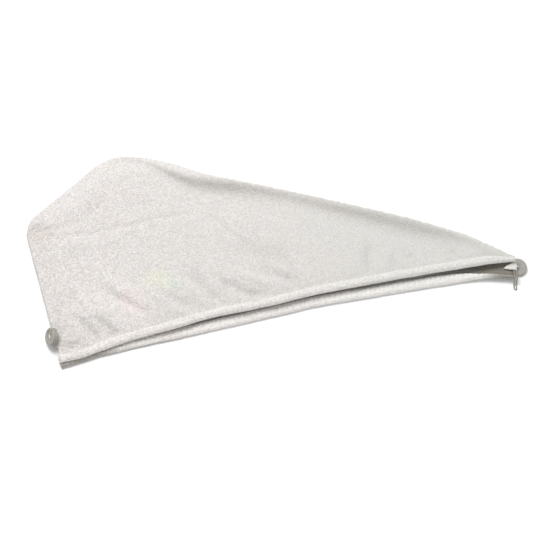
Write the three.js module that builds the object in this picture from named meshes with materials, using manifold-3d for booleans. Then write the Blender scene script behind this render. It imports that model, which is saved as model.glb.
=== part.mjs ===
// Hair turban towel: two terry panels sewn into a flat pouch that lies on its lower panel.
// X runs along the open front from the nape to the tail, Y from the front to the crown, Z is up.
// Lengths are in millimetres. The pouch is drawn from its nape corner and centred at the end.
import * as THREE from 'three';
import { mergeVertices } from 'three/addons/utils/BufferGeometryUtils.js';
import Module from 'manifold-3d';

const wasm = await Module();
wasm.setup();

// Outline of the pouch
const FRONT_LENGTH = 613; // open front, nape corner to tail corner
const REAR_HEIGHT = 198; // rear seam, nape corner to rear corner
const REAR_LEAN = 19; // how far the rear corner lies behind the nape corner
const CROWN_HEIGHT = 292; // front line to the top of the seam
const CROWN_OFFSET = 120; // nape corner to the top of the seam, along the front
const TAIL_HEIGHT = 27; // short end of the tail
const TAIL_REACH = 8; // how far the tail tip lies past the tail corner
const LOWER_BOW = 15; // deepest bow of the lower front edge
const UPPER_SETBACK = 31; // deepest setback of the upper front edge

// Cloth, hems and heights
const CLOTH = 2;
const CLOTH_NOSE = 0.45; // share of the cloth's thickness left at the seam
const FIT = 0.3; // gap between neighbouring pieces
const HEM_WIDTH = 11;
const HEM_WALL = 1.1;
const HEM_MOST = 0.7; // most of a column that a hem takes at the tail
const HEM_TUCK = 0.27; // share of its hem's width that a panel runs into it
const SEAM_LEVEL = 5.2;
const POUCH_LIFT = 8; // air between the panels in the middle
const MOUTH_LIFT = 6; // how far the upper hem stands off the lower one
const ROLL_REACH = 38; // seam to full height, upper panel
const LOWER_REACH = 24; // seam to flat, lower panel
const BAND_BLEND = 14; // hem to open panel
const TAIL_BLEND = 32; // length of the tail end where the seam stays spread
const TAIL_FLAT = 10; // length of the tail end that lies level on its button
const TAIL_SLOPE = 80; // length over which the tail climbs onto its button
const FOLD_LIFT = 3; // height of the tallest fold
const SEAM_INSET = 2.4; // seam to its raw edges inside the pouch
const SEAM_WIDTH = 7.5;
const SEAM_THICKNESS = 2.4;
const TAB_DROP = 3; // tail tip to the tab's upper end
const TAB_WIDTH = 14;
const TAB_OVERHANG = 2.5; // how far the tab runs past the tail end
const TAB_RAISE = 9.85; // tail corner to the tab's lower end

// Buttons, thread and elastic loop
const NAPE_BUTTON_RADIUS = 11.6;
const NAPE_BUTTON_THICKNESS = 6.8;
const TAIL_BUTTON_RADIUS = 12.3;
const TAIL_BUTTON_THICKNESS = 4.6;
const BUTTON_BEVEL = 0.9;
const BUTTON_RIM = 3; // width of the raised rim
const BUTTON_RECESS = 1.2;
const HOLE_RADIUS = 1.15;
const HOLE_OFFSET = 2.6;
const EYE_LENGTH = 10.4; // hollow round the two holes
const EYE_WIDTH = 3.6;
const THREAD_RADIUS = 0.8;
const SHANK_RADIUS = 1;
const NAPE_BUTTON_UP = 42; // nape corner to the button, along the rear seam
const NAPE_BUTTON_TILT = 38; // degrees that its face looks up from level
const NAPE_BUTTON_FLOOR = 1; // floor to its lowest point
const NAPE_BUTTON_SHANK = 0.8; // cloth to the button's back
const TAIL_BUTTON_UP = 16.5; // tail corner to the button, along the tail end
const TAIL_BUTTON_OUT = 5.2; // its centre past the tail end
const CORD_DIAMETER = 1.8;

// Rear corner to crown: shares of the way along and of the rise
const SLANT = [
  { along: 0, rise: 0 },
  { along: 0.065, rise: 0.22 },
  { along: 0.209, rise: 0.37 },
  { along: 0.547, rise: 0.68 },
  { along: 0.813, rise: 0.93 },
  { along: 1, rise: 1 },
];

// Crown to tail tip: shares of the way along and of the drop
const CROWN_SEAM = [
  { along: 0.05, drop: 0.015 },
  { along: 0.146, drop: 0.093 },
  { along: 0.238, drop: 0.197 },
  { along: 0.423, drop: 0.36 },
  { along: 0.605, drop: 0.527 },
  { along: 0.784, drop: 0.699 },
  { along: 0.902, drop: 0.835 },
  { along: 0.956, drop: 0.933 },
  { along: 1, drop: 1 },
];

// Front edges: shares of FRONT_LENGTH, of LOWER_BOW or UPPER_SETBACK, and of HEM_WIDTH
const LOWER_FRONT = [
  { along: 0, back: -0.05, width: 1 },
  { along: 0.106, back: 0.4, width: 1.15 },
  { along: 0.29, back: 0.6, width: 1.3 },
  { along: 0.48, back: 0.83, width: 1.3 },
  { along: 0.56, back: 0.93, width: 1.3 },
  { along: 0.64, back: 0.84, width: 1.3 },
  { along: 0.85, back: 0.52, width: 1.25 },
  { along: 0.93, back: 0.32, width: 0.7 },
  { along: 1, back: -0.27, width: 0.4 },
];
const UPPER_FRONT = [
  { along: 0, back: 0.16, width: 1 },
  { along: 0.05, back: 0.19, width: 1 },
  { along: 0.13, back: 0.43, width: 1 },
  { along: 0.25, back: 0.6, width: 1 },
  { along: 0.33, back: 0.74, width: 1 },
  { along: 0.45, back: 0.75, width: 1 },
  { along: 0.57, back: 0.84, width: 1 },
  { along: 0.77, back: 0.79, width: 1 },
  { along: 0.93, back: 0.65, width: 1 },
  { along: 1, back: 0.53, width: 0.5 },
];

// Mouth: shares of FRONT_LENGTH and of MOUTH_LIFT
const MOUTH = [
  { along: 0, open: 0 },
  { along: 0.09, open: 0.1 },
  { along: 0.18, open: 0.6 },
  { along: 0.3, open: 0.95 },
  { along: 0.8, open: 1 },
  { along: 0.93, open: 0.85 },
  { along: 1, open: 0.4 },
];

// Folds of the upper panel: both ends and the half width as shares of FRONT_LENGTH and
// CROWN_HEIGHT, and the height as a share of FOLD_LIFT, below zero for a valley
const FOLDS = [
  { x0: 0.295, y0: 0.93, x1: 0.318, y1: 0.82, half: 0.016, height: -0.8 },
  { x0: 0.318, y0: 0.82, x1: 0.37, y1: 0.74, half: 0.016, height: -1 },
  { x0: 0.37, y0: 0.74, x1: 0.45, y1: 0.73, half: 0.016, height: -0.9 },
  { x0: 0.34, y0: 0.86, x1: 0.44, y1: 0.79, half: 0.015, height: 0.7 },
  { x0: 0.48, y0: 0.66, x1: 0.66, y1: 0.52, half: 0.02, height: -0.5 },
  { x0: 0.66, y0: 0.52, x1: 0.86, y1: 0.27, half: 0.02, height: -0.7 },
  { x0: -0.02, y0: 0.63, x1: 0.24, y1: 0.6, half: 0.02, height: 0.7 },
  { x0: -0.01, y0: 0.7, x1: 0.12, y1: 0.7, half: 0.02, height: -0.5 },
  { x0: 0.08, y0: 0.22, x1: 0.15, y1: 0.1, half: 0.014, height: -0.8 },
  { x0: 0.14, y0: 0.28, x1: 0.22, y1: 0.16, half: 0.014, height: -0.9 },
  { x0: 0.12, y0: 0.3, x1: 0.18, y1: 0.2, half: 0.016, height: 0.6 },
  { x0: 0.25, y0: 0.27, x1: 0.31, y1: 0.17, half: 0.016, height: -0.5 },
  { x0: 0.345, y0: 0.35, x1: 0.365, y1: 0.15, half: 0.014, height: 0.6 },
  { x0: 0.375, y0: 0.28, x1: 0.43, y1: 0.17, half: 0.016, height: -0.7 },
  { x0: 0.5, y0: 0.26, x1: 0.54, y1: 0.15, half: 0.018, height: -0.5 },
  { x0: 0.7, y0: 0.28, x1: 0.69, y1: 0.14, half: 0.018, height: -0.4 },
];

// Route of the elastic loop, from the pouch's nape corner, in millimetres
const CORD_POINTS = [
  [614, 5.4, 10.2], [613.8, 2.8, 10.8], [613.5, 0, 11.2], [613.2, -3, 11.1], [612.8, -5.2, 9.8],
  [612.4, -6.8, 7.2], [612, -8, 4.4], [611.5, -9.4, 2.1], [611, -11.3, 1.05], [610.5, -13.4, 0.95],
  [610.1, -15.2, 0.95], [610.3, -16.8, 0.95], [611.3, -17.8, 0.95], [612.6, -17.5, 0.95],
  [613.4, -16.2, 0.95], [613.6, -14.4, 0.95], [613.9, -12.7, 0.95], [614.3, -11.1, 1.05],
  [614.8, -9.4, 2.1], [615.3, -8, 4.4], [615.7, -6.8, 7.2], [616.1, -5.2, 9.8], [616.4, -3, 11.1],
  [616.7, 0, 11.2], [616.9, 2.8, 10.8], [617, 5.4, 10.2],
];

// Mesh fineness
const PANEL_COLUMNS = 46;
const PANEL_ROWS = 14;
const LOWER_COLUMNS = 38;
const LOWER_ROWS = 8;
const EDGE_STEPS = [1.4, 4, 9, 17]; // rows and columns close to the seam
const REAR_SAMPLES = 22;
const SEAM_SAMPLES = 110;
const SEAM_STATIONS = 66;
const ROUND_SIDES = 24;
const SMALL_SIDES = 8;
const PROBE_STEP = 0.1;
const PROBE_STEPS = 40;
const CORD_STEPS = 40;

const { clamp, lerp, smoothstep } = THREE.MathUtils;
const HEM_HEIGHT = CLOTH + 2 * FIT + 2 * HEM_WALL;
const HEM_DROP = HEM_WALL + FIT; // panel's underside to the hem's underside
const FRONT_STACK = HEM_HEIGHT + FIT + HEM_DROP; // upper panel where the hems lie on each other
const TAIL_LIFT = TAIL_BUTTON_THICKNESS + FIT; // the tail end lies over its button

// Value of a table's column, on a smooth curve through its rows
function tableValue(rows, column, along) {
  const last = rows.length - 1;
  const at = clamp(along, rows[0].along, rows[last].along);
  let i = 0;
  while (i < last - 1 && rows[i + 1].along < at) i += 1;
  const slope = (j) => {
    const before = rows[Math.max(j - 1, 0)];
    const after = rows[Math.min(j + 1, last)];
    return (after[column] - before[column]) / (after.along - before.along);
  };
  const span = rows[i + 1].along - rows[i].along;
  const t = (at - rows[i].along) / span;
  const start = (1 + 2 * t) * (1 - t) ** 2 * rows[i][column];
  const end = t * t * (3 - 2 * t) * rows[i + 1][column];
  const bend = t * (1 - t) ** 2 * slope(i) - t * t * (1 - t) * slope(i + 1);
  return start + end + bend * span;
}

// A front edge: how far back it lies and how wide its hem is, at a share of its length
function frontEdge(rows, size) {
  return {
    y: (share) => tableValue(rows, 'back', share) * size,
    width: (share) => tableValue(rows, 'width', share) * HEM_WIDTH,
  };
}

const lowerEdge = frontEdge(LOWER_FRONT, LOWER_BOW);
const upperEdge = frontEdge(UPPER_FRONT, UPPER_SETBACK);
const tailCorner = lowerEdge.y(1);
const rearX = (y) => (-REAR_LEAN * y) / REAR_HEIGHT;
const tailX = (y) => FRONT_LENGTH + (TAIL_REACH * (y - tailCorner)) / TAIL_HEIGHT;

// Seam from the rear corner over the crown to the tail tip
function seamCurve() {
  const slant = SLANT.map((row) => new THREE.Vector3(
    lerp(-REAR_LEAN, CROWN_OFFSET, row.along),
    lerp(REAR_HEIGHT, CROWN_HEIGHT, row.rise),
    0,
  ));
  const crown = CROWN_SEAM.map((row) => new THREE.Vector3(
    lerp(CROWN_OFFSET, FRONT_LENGTH + TAIL_REACH, row.along),
    lerp(CROWN_HEIGHT, tailCorner + TAIL_HEIGHT, row.drop),
    0,
  ));
  return new THREE.CatmullRomCurve3([...slant, ...crown], false, 'centripetal');
}

const topSeam = seamCurve();
topSeam.arcLengthDivisions = 400;

// Rear and top seam as one line of points
const rearSeam = new THREE.LineCurve3(new THREE.Vector3(), topSeam.getPoint(0));
const seamLine = [
  ...rearSeam.getPoints(REAR_SAMPLES).slice(0, -1),
  ...topSeam.getSpacedPoints(SEAM_SAMPLES),
];

function seamDistance(x, y) {
  const point = new THREE.Vector3(x, y, 0);
  const foot = new THREE.Vector3();
  const line = new THREE.Line3();
  let nearest = Infinity;
  for (let i = 1; i < seamLine.length; i += 1) {
    line.set(seamLine[i - 1], seamLine[i]).closestPointToPoint(point, true, foot);
    nearest = Math.min(nearest, foot.distanceTo(point));
  }
  return nearest;
}

const roll = (distance, reach) => Math.sin(clamp(distance / reach, 0, 1) * Math.PI / 2);

// Height added by the folds, each a bell across its line that dies away past its ends
function foldHeight(x, y) {
  let height = 0;
  for (const fold of FOLDS) {
    const start = new THREE.Vector2(fold.x0 * FRONT_LENGTH, fold.y0 * CROWN_HEIGHT);
    const along = new THREE.Vector2(fold.x1 * FRONT_LENGTH, fold.y1 * CROWN_HEIGHT).sub(start);
    const point = new THREE.Vector2(x, y).sub(start);
    const share = clamp(point.dot(along) / along.lengthSq(), 0, 1);
    const away = point.sub(along.multiplyScalar(share)).length() / (fold.half * FRONT_LENGTH);
    height += fold.height * FOLD_LIFT * Math.exp(-away * away);
  }
  return height;
}

const tailShare = (x) => smoothstep(x, FRONT_LENGTH - TAIL_BLEND, FRONT_LENGTH - TAIL_FLAT);
const tailRise = (x) => TAIL_LIFT * smoothstep(x, FRONT_LENGTH - TAIL_SLOPE, FRONT_LENGTH - TAIL_FLAT);

function bandShare(x, y, edge) {
  const share = x / FRONT_LENGTH;
  const inside = y - edge.y(share) - edge.width(share);
  return Math.max(1 - smoothstep(inside, 1, 1 + BAND_BLEND), tailShare(x));
}

// Undersides of the two panels
function upperUnder(x, y) {
  const fromSeam = roll(seamDistance(x, y), ROLL_REACH);
  const pouch = SEAM_LEVEL + FIT / 2 + fromSeam * (POUCH_LIFT + foldHeight(x, y));
  const open = MOUTH_LIFT * tableValue(MOUTH, 'open', x / FRONT_LENGTH);
  return tailRise(x) + lerp(pouch, FRONT_STACK + open, bandShare(x, y, upperEdge));
}

function lowerUnder(x, y) {
  const seamRise = (SEAM_LEVEL - FIT / 2 - CLOTH) * (1 - roll(seamDistance(x, y), LOWER_REACH));
  return tailRise(x) + lerp(seamRise, HEM_DROP, bandShare(x, y, lowerEdge));
}

// Cloth thins to a soft nose at the seam
function clothThickness(x, y) {
  return CLOTH * lerp(CLOTH_NOSE, 1, clamp(seamDistance(x, y) / EDGE_STEPS[0], 0, 1));
}

// Point on the front edge of a panel, and on the seam across from it
function frontPoint(edge, share) {
  const y = edge.y(share);
  return new THREE.Vector3(lerp(rearX(y), tailX(y), share), y, 0);
}

const acrossPoint = (share) => topSeam.getPointAt(share);

// The hem narrows where the tail is hardly wider than the hem
function hemWidthAt(edge, share) {
  const column = frontPoint(edge, share).distanceTo(acrossPoint(share));
  return Math.min(edge.width(share), HEM_MOST * column);
}

// Shares from 0 to 1 that crowd towards the ends where the seam is
function crowdedShares(count, length, crowdStart, crowdEnd) {
  const near = EDGE_STEPS.map((step) => step / length);
  const from = crowdStart ? near.at(-1) : 0;
  const to = crowdEnd ? 1 - near.at(-1) : 1;
  const middle = Array.from({ length: count + 1 }, (_, i) => lerp(from, to, i / count));
  const start = crowdStart ? [0, ...near.slice(0, -1)] : [];
  const end = crowdEnd ? [...near.slice(0, -1).reverse().map((share) => 1 - share), 1] : [];
  return [...start, ...middle, ...end];
}

// Closed solid through rings of points, with both ends capped
function loft(rings) {
  const count = rings[0].length;
  const positions = rings.flat().flatMap((point) => [point.x, point.y, point.z]);
  const index = [];
  for (let i = 0; i < rings.length - 1; i += 1) {
    for (let j = 0; j < count; j += 1) {
      const a = i * count + j;
      const b = i * count + ((j + 1) % count);
      index.push(a, b, b + count, a, b + count, a + count);
    }
  }
  const offset = (rings.length - 1) * count;
  capFaces(rings[0]).forEach(([a, b, c]) => index.push(a, c, b));
  capFaces(rings.at(-1)).forEach(([a, b, c]) => index.push(offset + a, offset + b, offset + c));
  return facingOut(positions, index);
}

// Triangles across a ring, wound the way that its points run
function capFaces(ring) {
  const outline = ring.map(endPlane(ring));
  const faces = THREE.ShapeUtils.triangulateShape(outline, []);
  const wound = faces.map((face) => THREE.ShapeUtils.area(face.map((i) => outline[i])));
  const runsBack = THREE.ShapeUtils.area(outline) * wound.reduce((a, b) => a + b, 0) < 0;
  return runsBack ? faces.map(([a, b, c]) => [a, c, b]) : faces;
}

// Flat coordinates for a ring: its wider level direction, and height
function endPlane(ring) {
  const box = new THREE.Box3().setFromPoints(ring);
  const size = box.getSize(new THREE.Vector3());
  return size.x > size.y
    ? (point) => new THREE.Vector2(point.x, point.z)
    : (point) => new THREE.Vector2(point.y, point.z);
}

// Geometry whose faces point outwards, whichever way the rings ran
function facingOut(positions, index) {
  const corner = (i) => new THREE.Vector3().fromArray(positions, 3 * index[i]);
  let volume = 0;
  for (let i = 0; i < index.length; i += 3) {
    volume += corner(i).dot(corner(i + 1).cross(corner(i + 2)));
  }
  if (volume < 0) index.reverse();
  const geometry = new THREE.BufferGeometry();
  geometry.setAttribute('position', new THREE.Float32BufferAttribute(positions, 3));
  geometry.setIndex(index);
  geometry.computeVertexNormals();
  return geometry;
}

function colouredMesh(name, geometry, color, roughness) {
  const material = new THREE.MeshStandardMaterial({ color, roughness, metalness: 0, flatShading: true });
  const mesh = new THREE.Mesh(geometry, material);
  mesh.name = name;
  return mesh;
}

// Panel from its hem to the seam, one closed ring of cloth for each column
function panel(edge, under, columns, rows) {
  const shares = crowdedShares(columns, FRONT_LENGTH, true, false);
  return loft(shares.map((share) => {
    const front = frontPoint(edge, share);
    const across = acrossPoint(share);
    const length = front.distanceTo(across);
    const width = hemWidthAt(edge, share);
    const tucked = (width * (1 - HEM_TUCK)) / length;
    const free = (width + 2 * FIT) / length;
    const crowd = Math.max(length, 3 * EDGE_STEPS.at(-1));
    const line = [tucked, ...crowdedShares(rows, crowd, false, true).map((step) => lerp(free, 1, step))]
      .map((step) => front.clone().lerp(across, step));
    const low = line.map(({ x, y }) => new THREE.Vector3(x, y, under(x, y)));
    const high = low.map(({ x, y, z }) => new THREE.Vector3(x, y, z + clothThickness(x, y)));
    return [...low, ...high.reverse()];
  }));
}

// Section of a folded hem: distance in from the edge as a share of its width, and height as a
// share of its height, round the outside and then into the slot that takes the panel
function hemSection(width) {
  const slot = 1 - HEM_TUCK - FIT / width;
  const wall = HEM_WALL / HEM_HEIGHT;
  return [
    [0, 0.5], [0.05, 0.2], [0.17, 0], [1, 0], [1, wall], [slot, wall],
    [slot, 1 - wall], [1, 1 - wall], [1, 1], [0.17, 1], [0.05, 0.8],
  ].map(([across, up]) => ({ across: across * width, up: up * HEM_HEIGHT }));
}

// Hem along a front edge, which follows the cloth that runs into it
function hem(edge, under, columns) {
  const shares = crowdedShares(columns, FRONT_LENGTH, true, false);
  return loft(shares.map((share) => {
    const front = frontPoint(edge, share);
    const inward = acrossPoint(share).sub(front).normalize();
    return hemSection(hemWidthAt(edge, share)).map(({ across, up }) => {
      const { x, y } = front.clone().addScaledVector(inward, across);
      return new THREE.Vector3(x, y, under(x, y) - HEM_DROP + up);
    });
  }));
}

// Flat strip of seam cloth on the lower panel, at given distances in from a line
function stripRing(point, inward, distances) {
  const low = distances.map((distance) => {
    const { x, y } = point.clone().addScaledVector(inward, distance);
    return new THREE.Vector3(x, y, lowerUnder(x, y) + CLOTH + 1.5 * FIT);
  });
  const high = low.map(({ x, y, z }) => {
    const room = upperUnder(x, y) - 2 * FIT;
    return new THREE.Vector3(x, y, Math.min(z + SEAM_THICKNESS, room));
  });
  return [...low, ...high.reverse()];
}

// Seam allowance: starts past the hems at the nape and ends before the tail tab
function seamAllowance() {
  const path = new THREE.CurvePath();
  const hemEnd = 2 * HEM_WIDTH + BAND_BLEND;
  path.add(new THREE.LineCurve3(new THREE.Vector3(rearX(hemEnd), hemEnd, 0), topSeam.getPoint(0)));
  path.add(topSeam);
  const length = path.getLength();
  const end = 1 - (TAB_WIDTH + 3 * SEAM_WIDTH) / length;
  const rings = [];
  for (let i = 0; i <= SEAM_STATIONS; i += 1) {
    const share = (end * i) / SEAM_STATIONS;
    const reach = SEAM_WIDTH / length;
    const before = path.getPointAt(Math.max(share - reach, 0));
    const after = path.getPointAt(Math.min(share + reach, 1));
    const inward = new THREE.Vector3(after.y - before.y, before.x - after.x, 0).normalize();
    const distances = [0, 0.5, 1].map((part) => SEAM_INSET + part * SEAM_WIDTH);
    rings.push(stripRing(path.getPointAt(share), inward, distances));
  }
  return loft(rings);
}

// Tab of seam cloth that turns down the tail end and hangs a little past it
function tailTab() {
  const top = tailCorner + TAIL_HEIGHT - TAB_DROP;
  const length = TAIL_HEIGHT - TAB_DROP - TAB_RAISE;
  const distances = [0, 1, 2, 3].map((step) => lerp(-TAB_OVERHANG, TAB_WIDTH, step / 3));
  const steps = 10;
  const rings = [];
  for (let i = 0; i <= steps; i += 1) {
    const y = top - (length * i) / steps;
    rings.push(stripRing(new THREE.Vector3(tailX(y), y, 0), new THREE.Vector3(-1, 0, 0), distances));
  }
  return loft(rings);
}

// A three.js geometry as a solid for joining and cutting
function solidOf(source, matrix = new THREE.Matrix4()) {
  const bare = new THREE.BufferGeometry();
  bare.setAttribute('position', source.getAttribute('position').clone().applyMatrix4(matrix));
  if (source.index) bare.setIndex(source.index.clone());
  const merged = mergeVertices(bare, 1e-4);
  const corners = merged.index.array;
  const kept = [];
  for (let i = 0; i < corners.length; i += 3) {
    const [a, b, c] = corners.slice(i, i + 3);
    if (a !== b && b !== c && c !== a) kept.push(a, b, c);
  }
  const vertProperties = new Float32Array(merged.getAttribute('position').array);
  return new wasm.Manifold(new wasm.Mesh({ numProp: 3, vertProperties, triVerts: new Uint32Array(kept) }));
}

function geometryOf(solid) {
  const mesh = solid.getMesh();
  const geometry = new THREE.BufferGeometry();
  geometry.setAttribute('position', new THREE.BufferAttribute(new Float32Array(mesh.vertProperties), 3));
  geometry.setIndex([...mesh.triVerts]);
  geometry.computeVertexNormals();
  return geometry;
}

// Round bar between two points
function bar(from, to, radius) {
  const length = from.distanceTo(to);
  const geometry = new THREE.CylinderGeometry(radius, radius, length, SMALL_SIDES);
  const turn = new THREE.Quaternion().setFromUnitVectors(
    new THREE.Vector3(0, 1, 0),
    to.clone().sub(from).normalize(),
  );
  const middle = from.clone().lerp(to, 0.5);
  return solidOf(geometry, new THREE.Matrix4().compose(middle, turn, new THREE.Vector3(1, 1, 1)));
}

const holes = [-HOLE_OFFSET, HOLE_OFFSET];

// Two-hole button with a raised rim and an eye-shaped hollow, its back on z = 0
function button(radius, thickness) {
  const floor = thickness - BUTTON_RECESS;
  const profile = [
    [0, 0], [radius - BUTTON_BEVEL, 0], [radius, BUTTON_BEVEL], [radius, thickness - BUTTON_BEVEL],
    [radius - BUTTON_BEVEL, thickness], [radius - BUTTON_RIM, thickness],
    [radius - BUTTON_RIM - BUTTON_RECESS, floor], [0, floor],
  ].map(([across, height]) => new THREE.Vector2(across, height));
  const upright = new THREE.Matrix4().makeRotationX(Math.PI / 2);
  let solid = solidOf(new THREE.LatheGeometry(profile, ROUND_SIDES), upright);
  const eye = new THREE.Matrix4().makeScale(EYE_LENGTH / 2, EYE_WIDTH / 2, BUTTON_RECESS);
  eye.setPosition(0, 0, floor);
  solid = solid.subtract(solidOf(new THREE.SphereGeometry(1, 12, 8), eye));
  for (const x of holes) {
    const start = new THREE.Vector3(x, 0, -BUTTON_BEVEL);
    const end = new THREE.Vector3(x, 0, thickness + BUTTON_BEVEL);
    solid = solid.subtract(bar(start, end, HOLE_RADIUS));
  }
  return solid;
}

// Thread through both holes, with its shank running from the back to a point in button space
function threadThrough(thickness, shankEnd) {
  const front = thickness - BUTTON_RECESS + FIT;
  const back = -FIT - THREAD_RADIUS;
  const [left, right] = holes;
  const across = (level) => bar(new THREE.Vector3(left, 0, level), new THREE.Vector3(right, 0, level), THREAD_RADIUS);
  let solid = across(front).add(across(back));
  for (const x of holes) {
    const low = new THREE.Vector3(x, 0, back - THREAD_RADIUS / 2);
    const high = new THREE.Vector3(x, 0, front + THREAD_RADIUS / 2);
    solid = solid.add(bar(low, high, THREAD_RADIUS));
  }
  return solid.add(bar(new THREE.Vector3(0, 0, back), shankEnd, SHANK_RADIUS));
}

// The nape button leans on the rear seam with its face outwards and up
function napePlacement() {
  const tilt = THREE.MathUtils.degToRad(NAPE_BUTTON_TILT);
  const facing = new THREE.Vector3(-Math.cos(tilt), 0, Math.sin(tilt));
  const low = NAPE_BUTTON_UP - NAPE_BUTTON_RADIUS;
  const high = NAPE_BUTTON_UP + NAPE_BUTTON_RADIUS;
  let reach = -Infinity;
  for (let y = low; y <= high; y += 1) {
    for (let inside = 0; inside <= NAPE_BUTTON_RADIUS; inside += 0.5) {
      const x = rearX(y) + inside;
      const height = upperUnder(x, y) + clothThickness(x, y);
      reach = Math.max(reach, facing.dot(new THREE.Vector3(x, y, height)));
    }
  }
  const z = NAPE_BUTTON_FLOOR + NAPE_BUTTON_RADIUS * Math.cos(tilt);
  const x = (reach + NAPE_BUTTON_SHANK - facing.z * z) / facing.x;
  const basis = new THREE.Matrix4().makeBasis(
    new THREE.Vector3(0, 1, 0),
    facing.clone().cross(new THREE.Vector3(0, 1, 0)),
    facing,
  );
  return basis.setPosition(x, NAPE_BUTTON_UP, z);
}

// Point down the shank, in button space, that stops short of the cloth below it
function shankStop(placement) {
  const probe = new THREE.Vector3();
  let length = FIT + 2 * THREAD_RADIUS;
  for (let step = 0; step < PROBE_STEPS; step += 1) {
    probe.set(0, 0, -length - 2 * PROBE_STEP).applyMatrix4(placement);
    const top = upperUnder(probe.x, probe.y) + clothThickness(probe.x, probe.y);
    if (probe.z - SHANK_RADIUS < top + 2 * FIT) break;
    length += PROBE_STEP;
  }
  return new THREE.Vector3(0, 0, -length);
}

// The tail button lies face down on the floor, half under the tail end
function tailPlacement() {
  const y = tailCorner + TAIL_BUTTON_UP;
  const basis = new THREE.Matrix4().makeBasis(
    new THREE.Vector3(0, 1, 0),
    new THREE.Vector3(1, 0, 0),
    new THREE.Vector3(0, 0, -1),
  );
  return basis.setPosition(tailX(y) + TAIL_BUTTON_OUT, y, TAIL_BUTTON_THICKNESS);
}

// Place on the tail end's raw edge where its button is sewn, seen from the button
function tailAnchor(placement) {
  const y = tailCorner + TAIL_BUTTON_UP;
  const x = tailX(y) + SHANK_RADIUS + FIT;
  const level = lowerUnder(tailX(y), y) + CLOTH / 2;
  return new THREE.Vector3(x, y, level).applyMatrix4(placement.clone().invert());
}

function elasticLoop() {
  const path = new THREE.CatmullRomCurve3(
    CORD_POINTS.map((point) => new THREE.Vector3(...point)),
    false,
    'centripetal',
  );
  const section = new THREE.Shape();
  for (let side = 0; side < SMALL_SIDES; side += 1) {
    const angle = (2 * Math.PI * side) / SMALL_SIDES;
    const x = (CORD_DIAMETER / 2) * Math.cos(angle);
    const y = (CORD_DIAMETER / 2) * Math.sin(angle);
    if (side === 0) section.moveTo(x, y);
    else section.lineTo(x, y);
  }
  section.closePath();
  return new THREE.ExtrudeGeometry(section, { steps: CORD_STEPS, extrudePath: path, bevelEnabled: false });
}

function placed(solid, placement) {
  return geometryOf(solid).applyMatrix4(placement);
}

const towel = new THREE.Group();
const white = 0xe9e6e1;
const hemWhite = 0xebe7e3;
const clearGrey = 0xb3afa6;
const threadWhite = 0xf2efea;
const cordGrey = 0xb4b3a4;

const upperCloth = panel(upperEdge, upperUnder, PANEL_COLUMNS, PANEL_ROWS);
const lowerCloth = panel(lowerEdge, lowerUnder, LOWER_COLUMNS, LOWER_ROWS);
towel.add(colouredMesh('upper_panel', upperCloth, white, 0.95));
towel.add(colouredMesh('lower_panel', lowerCloth, white, 0.95));
towel.add(colouredMesh('upper_hem', hem(upperEdge, upperUnder, PANEL_COLUMNS), hemWhite, 0.95));
towel.add(colouredMesh('lower_hem', hem(lowerEdge, lowerUnder, LOWER_COLUMNS), hemWhite, 0.95));
towel.add(colouredMesh('seam_allowance', seamAllowance(), white, 0.95));
towel.add(colouredMesh('tail_tab', tailTab(), white, 0.95));

const nape = napePlacement();
const napeButton = button(NAPE_BUTTON_RADIUS, NAPE_BUTTON_THICKNESS);
const napeThread = threadThrough(NAPE_BUTTON_THICKNESS, shankStop(nape));
towel.add(colouredMesh('nape_button', placed(napeButton, nape), clearGrey, 0.25));
towel.add(colouredMesh('nape_thread', placed(napeThread, nape), threadWhite, 0.8));

const tail = tailPlacement();
const tailButton = button(TAIL_BUTTON_RADIUS, TAIL_BUTTON_THICKNESS);
const tailThread = threadThrough(TAIL_BUTTON_THICKNESS, tailAnchor(tail));
towel.add(colouredMesh('tail_button', placed(tailButton, tail), clearGrey, 0.25));
towel.add(colouredMesh('tail_thread', placed(tailThread, tail), threadWhite, 0.8));

// The cord rides outside the box that the origin is centred on
const box = new THREE.Box3().setFromObject(towel);
const centre = box.getCenter(new THREE.Vector3());
towel.add(colouredMesh('elastic_loop', elasticLoop(), cordGrey, 0.6));
towel.position.set(-centre.x, -centre.y, -box.min.z);
towel.updateMatrixWorld(true);

export default towel;
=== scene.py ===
import math

import bmesh
import bpy
import numpy as np
from mathutils import Matrix, Vector, noise


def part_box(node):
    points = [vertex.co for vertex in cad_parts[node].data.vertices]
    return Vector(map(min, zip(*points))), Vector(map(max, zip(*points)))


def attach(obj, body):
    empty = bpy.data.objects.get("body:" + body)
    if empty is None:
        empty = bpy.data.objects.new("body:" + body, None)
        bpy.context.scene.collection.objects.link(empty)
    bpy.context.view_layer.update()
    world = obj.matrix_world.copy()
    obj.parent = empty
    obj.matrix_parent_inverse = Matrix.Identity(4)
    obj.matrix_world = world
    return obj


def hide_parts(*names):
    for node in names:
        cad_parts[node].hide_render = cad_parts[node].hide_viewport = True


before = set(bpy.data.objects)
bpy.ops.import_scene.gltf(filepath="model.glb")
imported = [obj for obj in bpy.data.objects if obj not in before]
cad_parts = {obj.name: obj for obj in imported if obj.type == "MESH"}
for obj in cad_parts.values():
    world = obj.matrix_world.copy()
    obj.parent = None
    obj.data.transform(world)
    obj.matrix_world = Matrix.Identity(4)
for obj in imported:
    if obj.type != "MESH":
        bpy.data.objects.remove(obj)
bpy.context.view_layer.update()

mm = 0.001

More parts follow.
